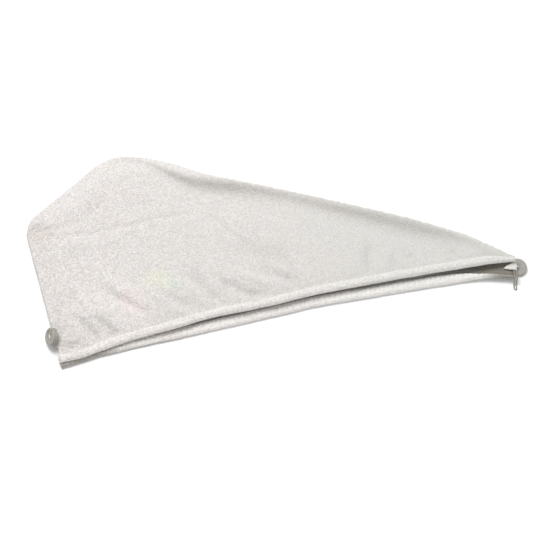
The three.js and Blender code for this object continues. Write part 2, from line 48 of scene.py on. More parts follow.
# Hair turban towel: two terry panels sewn into a pouch that lies on its lower panel.
# Everything is drawn from the nape corner of the pouch, X to the tail and Y to the crown.
pouch = {
    "frontLength": 613 * mm,
    "rearHeight": 198 * mm,
    "rearLean": 19 * mm,
    "crownHeight": 292 * mm,
    "crownOffset": 120 * mm,
    "tailHeight": 27 * mm,
    "tailReach": 8 * mm,
    "lowerBow": 15 * mm,
    "upperSetback": 31 * mm,
    "cloth": 2 * mm,
    "fit": 0.3 * mm,
    "hemWidth": 11 * mm,
    "hemWall": 1.1 * mm,
    "hemTuck": 0.27,  # share of the hem's width that a panel runs into it
    "hemMost": 0.7,  # most of a column that a hem takes at the tail
    "seamLevel": 5.2 * mm,
    "lift": 8 * mm,  # air between the panels
    "mouthLift": 6 * mm,
    "lowerReach": 24 * mm,
    "bandBlend": 14 * mm,
    "napeBlend": 46 * mm,
    "blendChange": (40 * mm, 190 * mm),  # along X, from napeBlend to bandBlend
    "tailBlend": 32 * mm,
    "tailFlat": 10 * mm,
    "tailSlope": 80 * mm,
    "tailLift": 4.9 * mm,  # the tail end lies on its button
}

# Shares of the way along and across
slant = {"along": (0, 0.065, 0.209, 0.547, 0.813, 1), "rise": (0, 0.22, 0.37, 0.68, 0.93, 1)}
crown = {
    "along": (0.05, 0.146, 0.238, 0.423, 0.605, 0.784, 0.902, 0.956, 1),
    "drop": (0.015, 0.093, 0.197, 0.36, 0.527, 0.699, 0.835, 0.933, 1),
}
lowerFront = {
    "along": (0, 0.106, 0.29, 0.48, 0.56, 0.64, 0.85, 0.93, 1),
    "back": (-0.05, 0.4, 0.6, 0.83, 0.93, 0.84, 0.52, 0.32, -0.27),
    "width": (1, 1.15, 1.3, 1.3, 1.3, 1.3, 1.25, 0.6, 0.24),
}
upperFront = {
    "along": (0, 0.05, 0.13, 0.25, 0.33, 0.45, 0.57, 0.77, 0.93, 1),
    "back": (0.16, 0.19, 0.43, 0.6, 0.74, 0.75, 0.84, 0.79, 0.65, 0.53),
    "width": (1, 1, 1, 1, 1, 1, 1, 1, 1, 0.5),
}
mouth = {"along": (0, 0.09, 0.18, 0.3, 0.8, 0.93, 1), "open": (0, 0.1, 0.6, 0.95, 1, 0.85, 0.4)}

panelLow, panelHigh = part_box("upper_panel")
corner = np.array((panelLow[0] + pouch["rearLean"], panelHigh[1] - pouch["crownHeight"], 0.0))
hemHeight = pouch["cloth"] + 2 * pouch["fit"] + 2 * pouch["hemWall"]
hemDrop = pouch["hemWall"] + pouch["fit"]
frontStack = hemHeight + pouch["fit"] + hemDrop
leastHeight = 0.00002  # nothing goes below it


def smooth(value, low, high):  # smooth step from 0 to 1
    t = np.clip((value - low) / (high - low), 0, 1)
    return t * t * (3 - 2 * t)


def mix(a, b, share):
    return a + (b - a) * share


def bell(value, reach):  # 1 at zero, and about a third at the reach
    return np.exp(-((value / reach) ** 2))


def unit(vectors):
    return vectors / np.linalg.norm(vectors, axis=-1, keepdims=True)


def tableValue(table, column, at):  # smooth curve through a table's rows
    along, values = np.array(table["along"], float), np.array(table[column], float)
    rows = np.arange(len(along))
    before, after = np.maximum(rows - 1, 0), np.minimum(rows + 1, rows[-1])
    slope = (values[after] - values[before]) / (along[after] - along[before])
    at = np.clip(at, along[0], along[-1])
    i = np.clip(np.searchsorted(along, at) - 1, 0, rows[-1] - 1)
    span = along[i + 1] - along[i]
    t = (at - along[i]) / span
    ends = (1 + 2 * t) * (1 - t) ** 2 * values[i] + t * t * (3 - 2 * t) * values[i + 1]
    return ends + span * (t * (1 - t) ** 2 * slope[i] - t * t * (1 - t) * slope[i + 1])


def frontY(edge, share):
    size = pouch["lowerBow"] if edge is lowerFront else pouch["upperSetback"]
    return tableValue(edge, "back", share) * size


tailCorner = float(frontY(lowerFront, 1.0))


def rearX(y):
    return -pouch["rearLean"] * y / pouch["rearHeight"]


def tailX(y):
    return pouch["frontLength"] + pouch["tailReach"] * (y - tailCorner) / pouch["tailHeight"]


def curveThrough(points, steps):  # centripetal curve through points, as many steps for each span
    padded = np.vstack([2 * points[0] - points[1], points, 2 * points[-1] - points[-2]])
    line = []
    for p0, p1, p2, p3 in zip(padded, padded[1:], padded[2:], padded[3:]):
        d0, d1, d2 = (max(np.linalg.norm(b - a), 1e-9) ** 0.5 for a, b in ((p0, p1), (p1, p2), (p2, p3)))
        m1 = d1 * ((p1 - p0) / d0 - (p2 - p0) / (d0 + d1) + (p2 - p1) / d1)
        m2 = d1 * ((p2 - p1) / d1 - (p3 - p1) / (d1 + d2) + (p3 - p2) / d2)
        t = np.linspace(0, 1, steps, endpoint=False)[:, None]
        cubic = (2 * p1 - 2 * p2 + m1 + m2) * t**3 + (3 * p2 - 3 * p1 - 2 * m1 - m2) * t**2
        line.append(cubic + m1 * t + p1)
    return np.vstack([*line, points[-1:]])


def seamRoute():  # rear corner, crown and tail tip
    along, rise = np.array(slant["along"]), np.array(slant["rise"])
    slantX = mix(-pouch["rearLean"], pouch["crownOffset"], along)
    slantY = mix(pouch["rearHeight"], pouch["crownHeight"], rise)
    along, drop = np.array(crown["along"]), np.array(crown["drop"])
    crownX = mix(pouch["crownOffset"], pouch["frontLength"] + pouch["tailReach"], along)
    crownY = mix(pouch["crownHeight"], tailCorner + pouch["tailHeight"], drop)
    return np.column_stack([np.r_[slantX, crownX], np.r_[slantY, crownY]])


def lengthAlong(line):
    return np.r_[0, np.cumsum(np.linalg.norm(np.diff(line, axis=0), axis=1))]


topSeam = curveThrough(seamRoute(), 24)
topLength = lengthAlong(topSeam)
rearY = np.linspace(0, pouch["rearHeight"], 40)
rearSeam = np.column_stack([rearX(rearY), rearY])
seamLine = np.vstack([rearSeam[:-1], topSeam])
seamLength = lengthAlong(seamLine)


def pointAt(line, length, share):
    at = np.asarray(share) * length[-1]
    return np.stack([np.interp(at, length, line[:, 0]), np.interp(at, length, line[:, 1])], axis=-1)


def nearestOn(line, x, y):  # distance to a line of points, and how far along it
    best, where = np.full(np.shape(x), np.inf), np.zeros(np.shape(x))
    for a, b, start in zip(line, line[1:], lengthAlong(line)):
        step = b - a
        size = max(float(step @ step), 1e-12)
        t = np.clip(((x - a[0]) * step[0] + (y - a[1]) * step[1]) / size, 0, 1)
        away = np.hypot(x - a[0] - t * step[0], y - a[1] - t * step[1])
        closer = away < best
        best = np.where(closer, away, best)
        where = np.where(closer, start + t * math.sqrt(size), where)
    return best, where


def seamDistance(x, y):
    return nearestOn(seamLine, x, y)[0]


def foldRow(half, height, *path):  # half its width, its height, and the points that it runs through
    return {"half": half, "height": height, "path": path}


# Folds of the upper panel, in millimetres from the nape corner. A valley's height is below zero.
folds = (
    foldRow(6.5, -5, (54, 62), (58, 54), (66, 42), (82, 22)),
    foldRow(6, -3.8, (28, 66), (33, 57), (43, 42), (54, 24)),
    foldRow(5.5, -3.2, (80, 84), (88, 77), (107, 62), (127, 47)),
    foldRow(6, -3, (143, 74), (151, 67), (170, 52), (188, 40)),
    foldRow(6.5, -3.4, (190, 98), (196, 85), (205, 63), (222, 41)),
    foldRow(6, -4, (226, 76), (228, 72), (242, 61), (258, 47), (280, 40)),
    foldRow(7, -2.6, (282, 76), (291, 71), (305, 63), (322, 52)),
    foldRow(5, 2.8, (219, 106), (224, 85), (226, 58)),
    foldRow(9, 3.6, (66, 120), (77, 107), (91, 92), (106, 74)),
    foldRow(7, 3, (40, 92), (44, 84), (49, 68), (57, 48)),
    foldRow(6, -2, (24, 102), (31, 86), (36, 72)),
    foldRow(8, 2.2, (118, 92), (136, 74), (156, 54)),
    foldRow(7, 2, (164, 92), (182, 70), (200, 50)),
    foldRow(7, 2.2, (250, 80), (272, 64), (296, 50)),
    foldRow(4, -0.9, (-14, 187), (26, 181), (86, 179), (127, 179), (164, 181), (219, 181)),
    foldRow(8, 1.1, (-14, 176), (38, 168), (75, 163), (112, 164)),
    foldRow(9, -0.8, (-4, 156), (38, 151), (70, 150)),
    foldRow(4, -0.8, (3, 194), (42, 196), (62, 201), (84, 215), (99, 236), (104, 258), (119, 276)),
    foldRow(12, 1, (0, 206), (34, 208), (56, 215), (76, 232), (88, 252)),
    foldRow(6, -1.8, (-16, 205), (6, 197)),
    foldRow(4, -1, (119, 280), (133, 280), (151, 273)),
    foldRow(3.5, -0.6, (194, 209), (214, 197), (230, 185), (242, 172)),
    foldRow(3, -1.1, (220, 196), (240, 161), (253, 140), (268, 121)),
    foldRow(4, 0.7, (228, 198), (248, 163), (262, 142), (276, 124)),
    foldRow(16, -2.8, (257, 122), (288, 100), (330, 84)),
    foldRow(6, -2.8, (431, 84), (430, 76), (427, 58), (426, 41)),
    foldRow(6, -2, (311, 62), (318, 53), (326, 40)),
    foldRow(5, -1.8, (458, 60), (460, 40)),
    foldRow(6, -1.8, (482, 60), (491, 40)),
    foldRow(5, -1.3, (536, 52), (550, 34)),
    foldRow(6, 1.3, (328, 92), (334, 74), (339, 56)),
    foldRow(2.2, -2.6, (1, 37), (12, 30), (30, 25)),
    foldRow(2, -2.6, (0, 31), (10, 25), (24, 21)),
    foldRow(4, -1.6, (323, 84), (326, 62), (330, 42)),
    foldRow(3, -1.6, (-16, 200), (-4, 205), (12, 207)),
    foldRow(3, -1.3, (-13, 192), (2, 196), (20, 198)),
)


def foldHeight(x, y):  # each fold fades out at both ends
    height = np.zeros(np.shape(x))
    for fold in folds:
        route = curveThrough(np.array(fold["path"], float) * mm, 5)
        away, along = nearestOn(route, x, y)
        share = along / lengthAlong(route)[-1]
        fade = smooth(share, -0.15, 0.3) * smooth(1 - share, -0.15, 0.25)
        height += fold["height"] * mm * fade * bell(away, fold["half"] * mm)
    return height


# Roll of cloth along the crown seam: a crest and a valley beside it, by millimetres along X
seamRoll = {
    "along": (100, 140, 165, 190, 214, 235, 262, 290, 349, 400, 437, 498, 538, 579, 613),
    "step": (5, 6, 11, 20, 22, 19, 16, 13, 13, 14, 14, 14, 12, 9, 6),  # seam to the steepest place
    "spread": (4, 5, 6, 6.5, 7, 9, 10, 10, 9, 9, 10, 10, 9, 7, 4),
    "height": (0.2, 1.2, 2.1, 3, 3.5, 4, 4.4, 4, 3, 3.4, 3.8, 3.8, 3, 1.3, 0.2),
    "reach": (36, 32, 26, 20, 16, 12, 9, 8, 7, 7, 7, 7, 9, 12, 20),  # seam to full height
    # rollShade: share of painted shade in a band below the rolled seam
    "rollShade": (0, 0.03, 0.07, 0.15, 0.2, 0.22, 0.2, 0.15, 0.1, 0.14, 0.16, 0.16, 0.1, 0.04, 0),
}
crest = {"steepness": 1.6, "fadeOut": 2.2, "fadeIn": 4.5, "edgeReach": 4 * mm}  # fades in spreads


def roll(distance, reach):
    return np.sin(np.clip(distance / reach, 0, 1) * math.pi / 2)


def crestHeight(x, fromSeam):
    step, spread, height = (tableValue(seamRoll, key, x / mm) * mm for key in ("step", "spread", "height"))
    past = (fromSeam - step) / spread
    fade = bell(past, np.where(past < 0, crest["fadeOut"], crest["fadeIn"]))
    return -height * np.tanh(crest["steepness"] * past) * fade * roll(fromSeam, crest["edgeReach"])


def tailRise(x):
    end = pouch["frontLength"]
    return pouch["tailLift"] * smooth(x, end - pouch["tailSlope"], end - pouch["tailFlat"])


def pastHem(x, y, edge):  # distance in from the hem's inner edge
    share = x / pouch["frontLength"]
    return y - frontY(edge, share) - tableValue(edge, "width", share) * pouch["hemWidth"]


def bandShare(x, y, edge):  # 1 beside the hem and over the tail end
    end = pouch["frontLength"]
    tail = smooth(x, end - pouch["tailBlend"], end - pouch["tailFlat"])
    blend = mix(pouch["napeBlend"], pouch["bandBlend"], smooth(x, *pouch["blendChange"]))
    return np.maximum(1 - smooth(pastHem(x, y, edge), 1 * mm, 1 * mm + blend), tail)


def upperUnder(x, y, fromSeam):  # underside of the upper panel
    risen = roll(fromSeam, tableValue(seamRoll, "reach", x / mm) * mm)
    lifted = risen * pouch["lift"] + crestHeight(x, fromSeam)
    folded = foldHeight(x, y) * risen * smooth(pastHem(x, y, upperFront), -1 * mm, 6 * mm)
    pouchLevel = pouch["seamLevel"] + pouch["fit"] / 2 + lifted
    opened = pouch["mouthLift"] * tableValue(mouth, "open", x / pouch["frontLength"])
    return tailRise(x) + mix(pouchLevel, frontStack + opened, bandShare(x, y, upperFront)) + folded


def lowerUnder(x, y, fromSeam):  # underside of the lower panel
    level = pouch["seamLevel"] - pouch["fit"] / 2 - pouch["cloth"]
    rise = level * (1 - roll(fromSeam, pouch["lowerReach"]))
    return tailRise(x) + mix(rise, hemDrop, bandShare(x, y, lowerFront))


def frontPoint(edge, share):
    y = frontY(edge, share)
    return np.stack([mix(rearX(y), tailX(y), share), y], axis=-1)


def columnEnds(edge, shares):  # where columns of the pouch start at the front and end on the seam
    return frontPoint(edge, shares), pointAt(topSeam, topLength, shares)


def hemWidthAt(edge, shares):
    front, across = columnEnds(edge, shares)
    column = np.linalg.norm(across - front, axis=-1)
    return np.minimum(tableValue(edge, "width", shares) * pouch["hemWidth"], pouch["hemMost"] * column)


def linked(name, data):  # new object in the scene
    piece = bpy.data.objects.new(name, data)
    bpy.context.scene.collection.objects.link(piece)
    return piece


def meshFrom(work, mesh):  # a bmesh's faces, put in a mesh
    work.to_mesh(mesh)
    work.free()
    return mesh


def evaluatedMesh(piece):  # plain mesh with the modifiers applied
    depsgraph = bpy.context.evaluated_depsgraph_get()
    return bpy.data.meshes.new_from_object(piece.evaluated_get(depsgraph))


def makeObject(name, points, faces, material, shaded=None):  # closed mesh in its place, origin at zero
    mesh = bpy.data.meshes.new(name)
    mesh.from_pydata(np.asarray(points).tolist(), [], faces)
    mesh.update()
    mesh.shade_smooth()
    mesh.materials.append(material)
    if shaded is not None:
        layer = mesh.attributes.new("shaded", "FLOAT", "POINT")
        layer.data.foreach_set("value", np.asarray(shaded, float))
    work = bmesh.new()
    work.from_mesh(mesh)
    if work.calc_volume(signed=True) < 0:
        bmesh.ops.reverse_faces(work, faces=work.faces)
    return linked(name, meshFrom(work, mesh))


def ringFaces(stations, count):  # walls between rings of count points, and a cap at each end
    faces = []
    for i in range(stations - 1):
        for j in range(count):
            k = (j + 1) % count
            faces.append((i * count + j, i * count + k, (i + 1) * count + k, (i + 1) * count + j))
    faces.append(tuple(range(count))[::-1])
    faces.append(tuple(range((stations - 1) * count, stations * count)))
    return faces


def newGroup(name, kind, inputs, outputs):  # node group with named sockets
    tree = bpy.data.node_groups.new(name, kind)
    for label, (socketKind, value) in inputs.items():
        socket = tree.interface.new_socket(name=label, in_out="INPUT", socket_type="NodeSocket" + socketKind)
        if value is not None:
            socket.default_value = value
    for label, socketKind in outputs.items():
        tree.interface.new_socket(name=label, in_out="OUTPUT", socket_type="NodeSocket" + socketKind)
    return tree, tree.nodes.new("NodeGroupInput").outputs, tree.nodes.new("NodeGroupOutput")


def fill(tree, node, values):  # sockets linked or set by name
    for key, value in values.items():
        if isinstance(value, bpy.types.NodeSocket):
            tree.links.new(value, node.inputs[key])
        else:
            node.inputs[key].default_value = value
    return node


def addNode(tree, kind, settings=None, values=None):
    node = tree.nodes.new(kind)
    for key, value in (settings or {}).items():
        setattr(node, key, value)
    return fill(tree, node, values or {})


def mathNode(tree, operation, a, b):
    return addNode(tree, "ShaderNodeMath", {"operation": operation}, {0: a, 1: b}).outputs[0]


def vectorNode(tree, operation, a, b):
    second = "Scale" if operation == "SCALE" else 1
    return addNode(tree, "ShaderNodeVectorMath", {"operation": operation}, {0: a, second: b}).outputs[0]


def mixColour(tree, factor, a, b, blend="MIX"):
    settings = {"data_type": "RGBA", "blend_type": blend}
    return addNode(tree, "ShaderNodeMix", settings, {0: factor, 6: a, 7: b}).outputs[2]


def rampNode(tree, value, low, high, to=(0.0, 1.0), shape="LINEAR"):  # value stretched from low..high
    values = {"Value": value, "From Min": low, "From Max": high, "To Min": to[0], "To Max": to[1]}
    return addNode(tree, "ShaderNodeMapRange", {"interpolation_type": shape}, values).outputs[0]


def objectPlace(tree):
    return addNode(tree, "ShaderNodeTexCoord").outputs["Object"]


def noiseNode(tree, place, scale, detail, roughness=0.5, output="Fac"):
    values = {"Vector": place, "Scale": scale, "Detail": detail, "Roughness": roughness}
    return addNode(tree, "ShaderNodeTexNoise", {}, values).outputs[output]


def bumpNode(tree, height, strength, distance):
    values = {"Strength": strength, "Distance": distance, "Height": height}
    return addNode(tree, "ShaderNodeBump", {}, values).outputs[0]


pileForm = {
    "bendScale": 240.0,
    "bend": 0.0022,
    "smoothness": 0.35,
    "clumpRange": (0.3, 0.7),
    "fineScale": 460.0,
    "grain": (0.6, 0.4),  # shares of fine noise and of each loop's own shade
    "shadeRange": (0.25, 0.75),
}


def pileGroup():  # looped pile: bent loops in clumps, and a shade for each loop
    inputs = {"Loop Scale": ("Float", 620.0), "Clump Scale": ("Float", 170.0), "Clump Share": ("Float", 0.5)}
    outputs = {"Height": "Float", "Shade": "Float"}
    tree, given, sink = newGroup("loopedPile", "ShaderNodeTree", inputs, outputs)
    place = objectPlace(tree)
    bend = noiseNode(tree, place, pileForm["bendScale"], 1.0, output="Color")
    bent = vectorNode(tree, "ADD", place, vectorNode(tree, "SCALE", bend, pileForm["bend"]))
    cells = {"Vector": bent, "Scale": given["Loop Scale"], "Smoothness": pileForm["smoothness"]}
    loops = addNode(tree, "ShaderNodeTexVoronoi", {"feature": "SMOOTH_F1"}, cells).outputs
    loopHeight = mathNode(tree, "SUBTRACT", 1.0, loops["Distance"])
    clumps = noiseNode(tree, place, given["Clump Scale"], 4.0, 0.6)
    clumpHeight = rampNode(tree, clumps, *pileForm["clumpRange"])
    share = mathNode(tree, "MULTIPLY", clumpHeight, given["Clump Share"])
    fine = noiseNode(tree, place, pileForm["fineScale"], 2.0, 0.7)
    single = addNode(tree, "ShaderNodeSeparateColor", {}, {"Color": loops["Color"]}).outputs[0]
    parts = [mathNode(tree, "MULTIPLY", a, b) for a, b in zip((fine, single), pileForm["grain"])]
    shade = rampNode(tree, mathNode(tree, "ADD", *parts), *pileForm["shadeRange"])
    fill(tree, sink, {"Height": mathNode(tree, "ADD", loopHeight, share), "Shade": shade})
    return tree


def tintGroup():  # soft patch of colour round a place on the cloth, for stains and for painted shade
    inputs = {
        "Color": ("Color", (1, 1, 1, 1)),
        "Tint": ("Color", (1, 1, 1, 1)),
        "Centre": ("Vector", (0, 0, 0)),
        "Spread": ("Vector", (30, 30, 0)),
        "Strength": ("Float", 0.3),
    }
    tree, given, sink = newGroup("softTint", "ShaderNodeTree", inputs, {"Color": "Color"})
    place = objectPlace(tree)
    away = vectorNode(tree, "SUBTRACT", place, given["Centre"])
    scaled = vectorNode(tree, "MULTIPLY", away, given["Spread"])
    distance = addNode(tree, "ShaderNodeVectorMath", {"operation": "LENGTH"}, {0: scaled}).outputs["Value"]
    wander = mathNode(tree, "SUBTRACT", noiseNode(tree, place, 45.0, 3.0), 0.5)
    mask = rampNode(tree, mathNode(tree, "ADD", distance, wander), 1.1, 0.1, shape="SMOOTHSTEP")
    amount = mathNode(tree, "MULTIPLY", mask, given["Strength"])
    fill(tree, sink, {"Color": mixColour(tree, amount, given["Color"], given["Tint"])})
    return tree


loopedPile = pileGroup()
softTint = tintGroup()


def startMaterial(name):
    material = bpy.data.materials.new(name)
    material.use_nodes = True
    tree = material.node_tree
    return material, tree, tree.nodes["Principled BSDF"]


def placeOf(x, y):  # place on the cloth, from millimetres off the nape corner
    return (corner[0] + x * mm, corner[1] + y * mm, 0.01)


terry = {
    "near": (0.81, 0.768, 0.745),  # colour at the nape: pinker, and lighter as painted light
    "far": (0.64, 0.636, 0.608),  # colour at the tail: greyer, and darker as painted shade where the light falls off
    "shaded": (0.19, 0.17, 0.135),  # painted shade: inner sides, the seam's edge, valleys, patches and the hems' hidden fronts
    # painted light and shade: lighter copies of the terry for the hems, a darker one for the seam cloth
    # inside
    "paintedLightAndShade": {"hem": 1.13, "lowerHem": 1.26, "inside": 0.9},
    "dark": (0.63, 0.9),  # how dark the pile gets between loops, nape and tail
    "pile": {"Loop Scale": 680.0, "Clump Scale": 170.0, "Clump Share": 0.25},
    "bump": (0.9, 0.0008),  # strength and depth
    "surface": {
        "Roughness": 0.95,
        "Specular IOR Level": 0.2,
        "Sheen Weight": 0.25,
        "Sheen Roughness": 0.6,
        "Subsurface Weight": 0.35,  # light that passes through the cloth
        "Subsurface Radius": (1, 0.85, 0.7),
        "Subsurface Scale": 3 * mm,
    },
    # pink, yellow and green stains; at the rear corner a pinkish stain darkened as painted shade; two
    # lighter patches
    "tints": (
        {"at": (104, 66), "reach": (22, 26), "colour": (0.86, 0.68, 0.68), "strength": 0.5},
        {"at": (142, 92), "reach": (30, 22), "colour": (0.82, 0.83, 0.66), "strength": 0.5},
        {"at": (168, 80), "reach": (16, 14), "colour": (0.7, 0.8, 0.68), "strength": 0.4},
        {"at": (6, 190), "reach": (30, 24), "colour": (0.74, 0.66, 0.61), "strength": 0.45},
        {"at": (20, 160), "reach": (26, 12), "colour": (0.9, 0.88, 0.84), "strength": 0.4},
        {"at": (75, 62), "reach": (80, 48), "colour": (0.9, 0.86, 0.83), "strength": 0.5},
    ),
}


def terryFinish(name, shade=1.0, tints=()):
    material, tree, shader = startMaterial(name)
    pile = addNode(tree, "ShaderNodeGroup", {"node_tree": loopedPile}, terry["pile"]).outputs
    across = addNode(tree, "ShaderNodeSeparateXYZ", {}, {0: objectPlace(tree)}).outputs["X"]
    # from nape to tail: partly a change of tone, partly painted light that falls off towards the tail
    toTail = rampNode(tree, across, corner[0], corner[0] + pouch["frontLength"])
    # shade scales the colour, for the lighter and darker copies of the terry
    near, far = ([*(value * shade for value in terry[end]), 1] for end in ("near", "far"))
    colour = mixColour(tree, toTail, near, far)
    for tint in tints:
        values = {
            "Color": colour,
            "Tint": (*tint["colour"], 1),
            "Centre": placeOf(*tint["at"]),
            "Spread": [*(1 / (reach * mm) for reach in tint["reach"]), 0],
            "Strength": tint["strength"],
        }
        colour = addNode(tree, "ShaderNodeGroup", {"node_tree": softTint}, values).outputs["Color"]
    # painted shade: the shaded attribute mixes this shaded colour into the cloth
    paintedShade = addNode(tree, "ShaderNodeAttribute", {"attribute_name": "shaded"}).outputs["Fac"]
    colour = mixColour(tree, paintedShade, colour, (*terry["shaded"], 1))
    deep = mixColour(tree, toTail, *((value, value, value, 1) for value in terry["dark"]))
    dark = mixColour(tree, 1.0, colour, deep, "MULTIPLY")
    grained = mixColour(tree, pile["Shade"], dark, colour)
    bump = bumpNode(tree, pile["Height"], *terry["bump"])
    fill(tree, shader, {**terry["surface"], "Base Color": grained, "Normal": bump})
    return material


def threadFinish(name, colour, scale=1500.0):
    material, tree, shader = startMaterial(name)
    fibre = noiseNode(tree, objectPlace(tree), scale, 2.0)
    worn = [*(value * 0.8 for value in colour), 1]
    twisted = mixColour(tree, rampNode(tree, fibre, 0.35, 0.65), worn, (*colour, 1))
    bump = bumpNode(tree, fibre, 0.5, 0.0002)
    fill(tree, shader, {"Base Color": twisted, "Normal": bump, "Roughness": 0.75, "Sheen Weight": 0.2})
    return material


resin = {
    "cloud": ((0.42, 0.4, 0.36, 1), (0.52, 0.5, 0.45, 1)),
    "cloudScale": 160.0,
    # painted shade at the rim: darker where the surface turns from the camera
    "edge": (0.2, 0.18, 0.15, 1),
    "edgeBlend": 0.25,
    "hazeScale": 900.0,
    "roughness": (0.22, 0.4),
    "surface": {
        "Transmission Weight": 0.25,
        "Subsurface Weight": 0.2,
        "Subsurface Radius": (1, 0.9, 0.75),
        "Subsurface Scale": 4 * mm,
        "IOR": 1.5,
    },
}


def resinFinish(name):  # smoky clear button resin with faint cloud, handling haze and painted shade at its rim
    material, tree, shader = startMaterial(name)
    place = objectPlace(tree)
    cloud = rampNode(tree, noiseNode(tree, place, resin["cloudScale"], 3.0), 0.3, 0.7)
    edge = addNode(tree, "ShaderNodeLayerWeight", {}, {"Blend": resin["edgeBlend"]}).outputs["Facing"]
    colour = mixColour(tree, edge, mixColour(tree, cloud, *resin["cloud"]), resin["edge"])
    haze = rampNode(tree, noiseNode(tree, place, resin["hazeScale"], 2.0), 0.0, 1.0, resin["roughness"])
    fill(tree, shader, {**resin["surface"], "Base Color": colour, "Roughness": haze})
    return material


clothFinish = terryFinish("terryCloth", tints=terry["tints"])
# lighter copies for the hems and the tail tab, and a darker one for the seam cloth: painted light and shade
hemPaintedLight = terryFinish("terryHemPaintedLight", terry["paintedLightAndShade"]["hem"])
lowerHemPaintedLight = terryFinish("terryLowerHemPaintedLight", terry["paintedLightAndShade"]["lowerHem"])
insidePaintedShade = terryFinish("terryInsidePaintedShade", terry["paintedLightAndShade"]["inside"])
stitchFinish = threadFinish("hemThread", (0.85, 0.83, 0.8))
buttonFinish = resinFinish("smokyResin")
buttonThread = threadFinish("buttonThread", (0.9, 0.88, 0.85))
elasticFinish = threadFinish("elasticBraid", (0.31, 0.3, 0.24), 2600.0)
print("finishes ready")

# Camera at the photograph's angle, then floor and lights
view = {"azimuth": -12.2, "elevation": 66, "lens": 85, "frameWidth": 730 * mm, "target": (295.5, 80.3)}


def addCamera():
    data = bpy.data.cameras.new("photoCamera")
    data.lens = view["lens"]
    data.clip_start = 0.05
    data.clip_end = 50
    camera = linked("photoCamera", data)
    az, el = math.radians(view["azimuth"]), math.radians(view["elevation"])
    back = Vector((math.sin(az) * math.cos(el), -math.cos(az) * math.cos(el), math.sin(el)))
    target = Vector((corner[0] + view["target"][0] * mm, corner[1] + view["target"][1] * mm, 0))
    camera.location = target + back * (view["frameWidth"] * view["lens"] / data.sensor_width)
    camera.rotation_euler = (-back).to_track_quat("-Z", "Y").to_euler()
    bpy.context.scene.camera = camera


studio = {
    "floor": (0.93, 0.93, 0.93),
    "floorSize": 6.0,
    "floorDrop": 0.00005,
    "world": 0.5,
    "lights": (
        {"name": "backSoftbox", "at": (-0.35, 1.25, 2.3), "size": 1.2, "power": 62},
        {"name": "frontFill", "at": (0.15, -1.9, 1.1), "size": 1.5, "power": 6},
    ),
}


def addStage():
    half = studio["floorSize"] / 2
    corners = [(x * half, y * half, -studio["floorDrop"]) for x, y in ((-1, -1), (1, -1), (1, 1), (-1, 1))]
    material, tree, shader = startMaterial("paleFloor")
    fill(tree, shader, {"Base Color": (*studio["floor"], 1), "Roughness": 0.9, "Specular IOR Level": 0.1})
    mesh = bpy.data.meshes.new("floor")
    mesh.from_pydata(corners, [], [(0, 1, 2, 3)])
    mesh.materials.append(material)
    floor = linked("floor", mesh)
    world = bpy.data.worlds.new("studioWorld")
    world.use_nodes = True
    background = world.node_tree.nodes["Background"]
    fill(world.node_tree, background, {"Color": (1, 1, 1, 1), "Strength": studio["world"]})
    bpy.context.scene.world = world
    for lamp in studio["lights"]:
        data = bpy.data.lights.new(lamp["name"], "AREA")
        data.size = lamp["size"]
        data.energy = lamp["power"]
        light = linked(lamp["name"], data)
        light.location = lamp["at"]
        light.rotation_euler = (-Vector(lamp["at"])).to_track_quat("-Z", "Y").to_euler()
    bpy.context.scene.view_settings.view_transform = "Standard"


addCamera()
addStage()
print("camera, floor and lights ready")

# Elastic loop: the route's points are the part's own, in millimetres from the nape corner
elastic = {
    "diameter": 1.8 * mm,
    "points": (
        (614, 5.4, 10.2), (613.8, 2.8, 10.8), (613.5, 0, 11.2), (613.2, -3, 11.1), (612.8, -5.2, 9.8),
        (612.4, -6.8, 7.2), (612, -8, 4.4), (611.5, -9.4, 2.1), (611, -11.3, 1.05), (610.5, -13.4, 0.95),
        (610.1, -15.2, 0.95), (610.3, -16.8, 0.95), (611.3, -17.8, 0.95), (612.6, -17.5, 0.95),
        (613.4, -16.2, 0.95), (613.6, -14.4, 0.95), (613.9, -12.7, 0.95), (614.3, -11.1, 1.05),
        (614.8, -9.4, 2.1), (615.3, -8, 4.4), (615.7, -6.8, 7.2), (616.1, -5.2, 9.8), (616.4, -3, 11.1),
        (616.7, 0, 11.2), (616.9, 2.8, 10.8), (617, 5.4, 10.2),
    ),
    "sides": 20,
    "step": 0.16 * mm,
    "strands": 5,  # ribs of the braid, each way round
    "relief": 0.06 * mm,
    "turn": 2.6 * mm,  # length of one turn of a strand
}


def ringFrames(line):  # side and up at each point of a path, without twist
    tangents = unit(np.gradient(line, axis=0))
    side = np.cross(tangents[0], (0.0, 0.0, 1.0))
    if np.linalg.norm(side) < 1e-6:
        side = np.cross(tangents[0], (1.0, 0.0, 0.0))
    sides = []
    for tangent in tangents:
        side = unit(side - tangent * (side @ tangent))
        sides.append(side)
    sides = np.array(sides)
    return sides, np.cross(tangents, sides)


def tubeMesh(line, radius, sides):  # closed tube, radius(length, angle) on a fine path
    side, up = ringFrames(line)
    angle = np.linspace(0, 2 * math.pi, sides, endpoint=False)[None, :, None]
    size = radius(lengthAlong(line)[:, None, None], angle)
    rings = line[:, None] + size * (np.cos(angle) * side[:, None] + np.sin(angle) * up[:, None])
    return rings.reshape(-1, 3), ringFaces(len(line), sides)


def resampled(line, step):
    lengths = lengthAlong(line)
    at = np.linspace(0, lengths[-1], max(int(round(lengths[-1] / step)), 2) + 1)
    return np.stack([np.interp(at, lengths, line[:, axis]) for axis in range(3)], axis=-1)


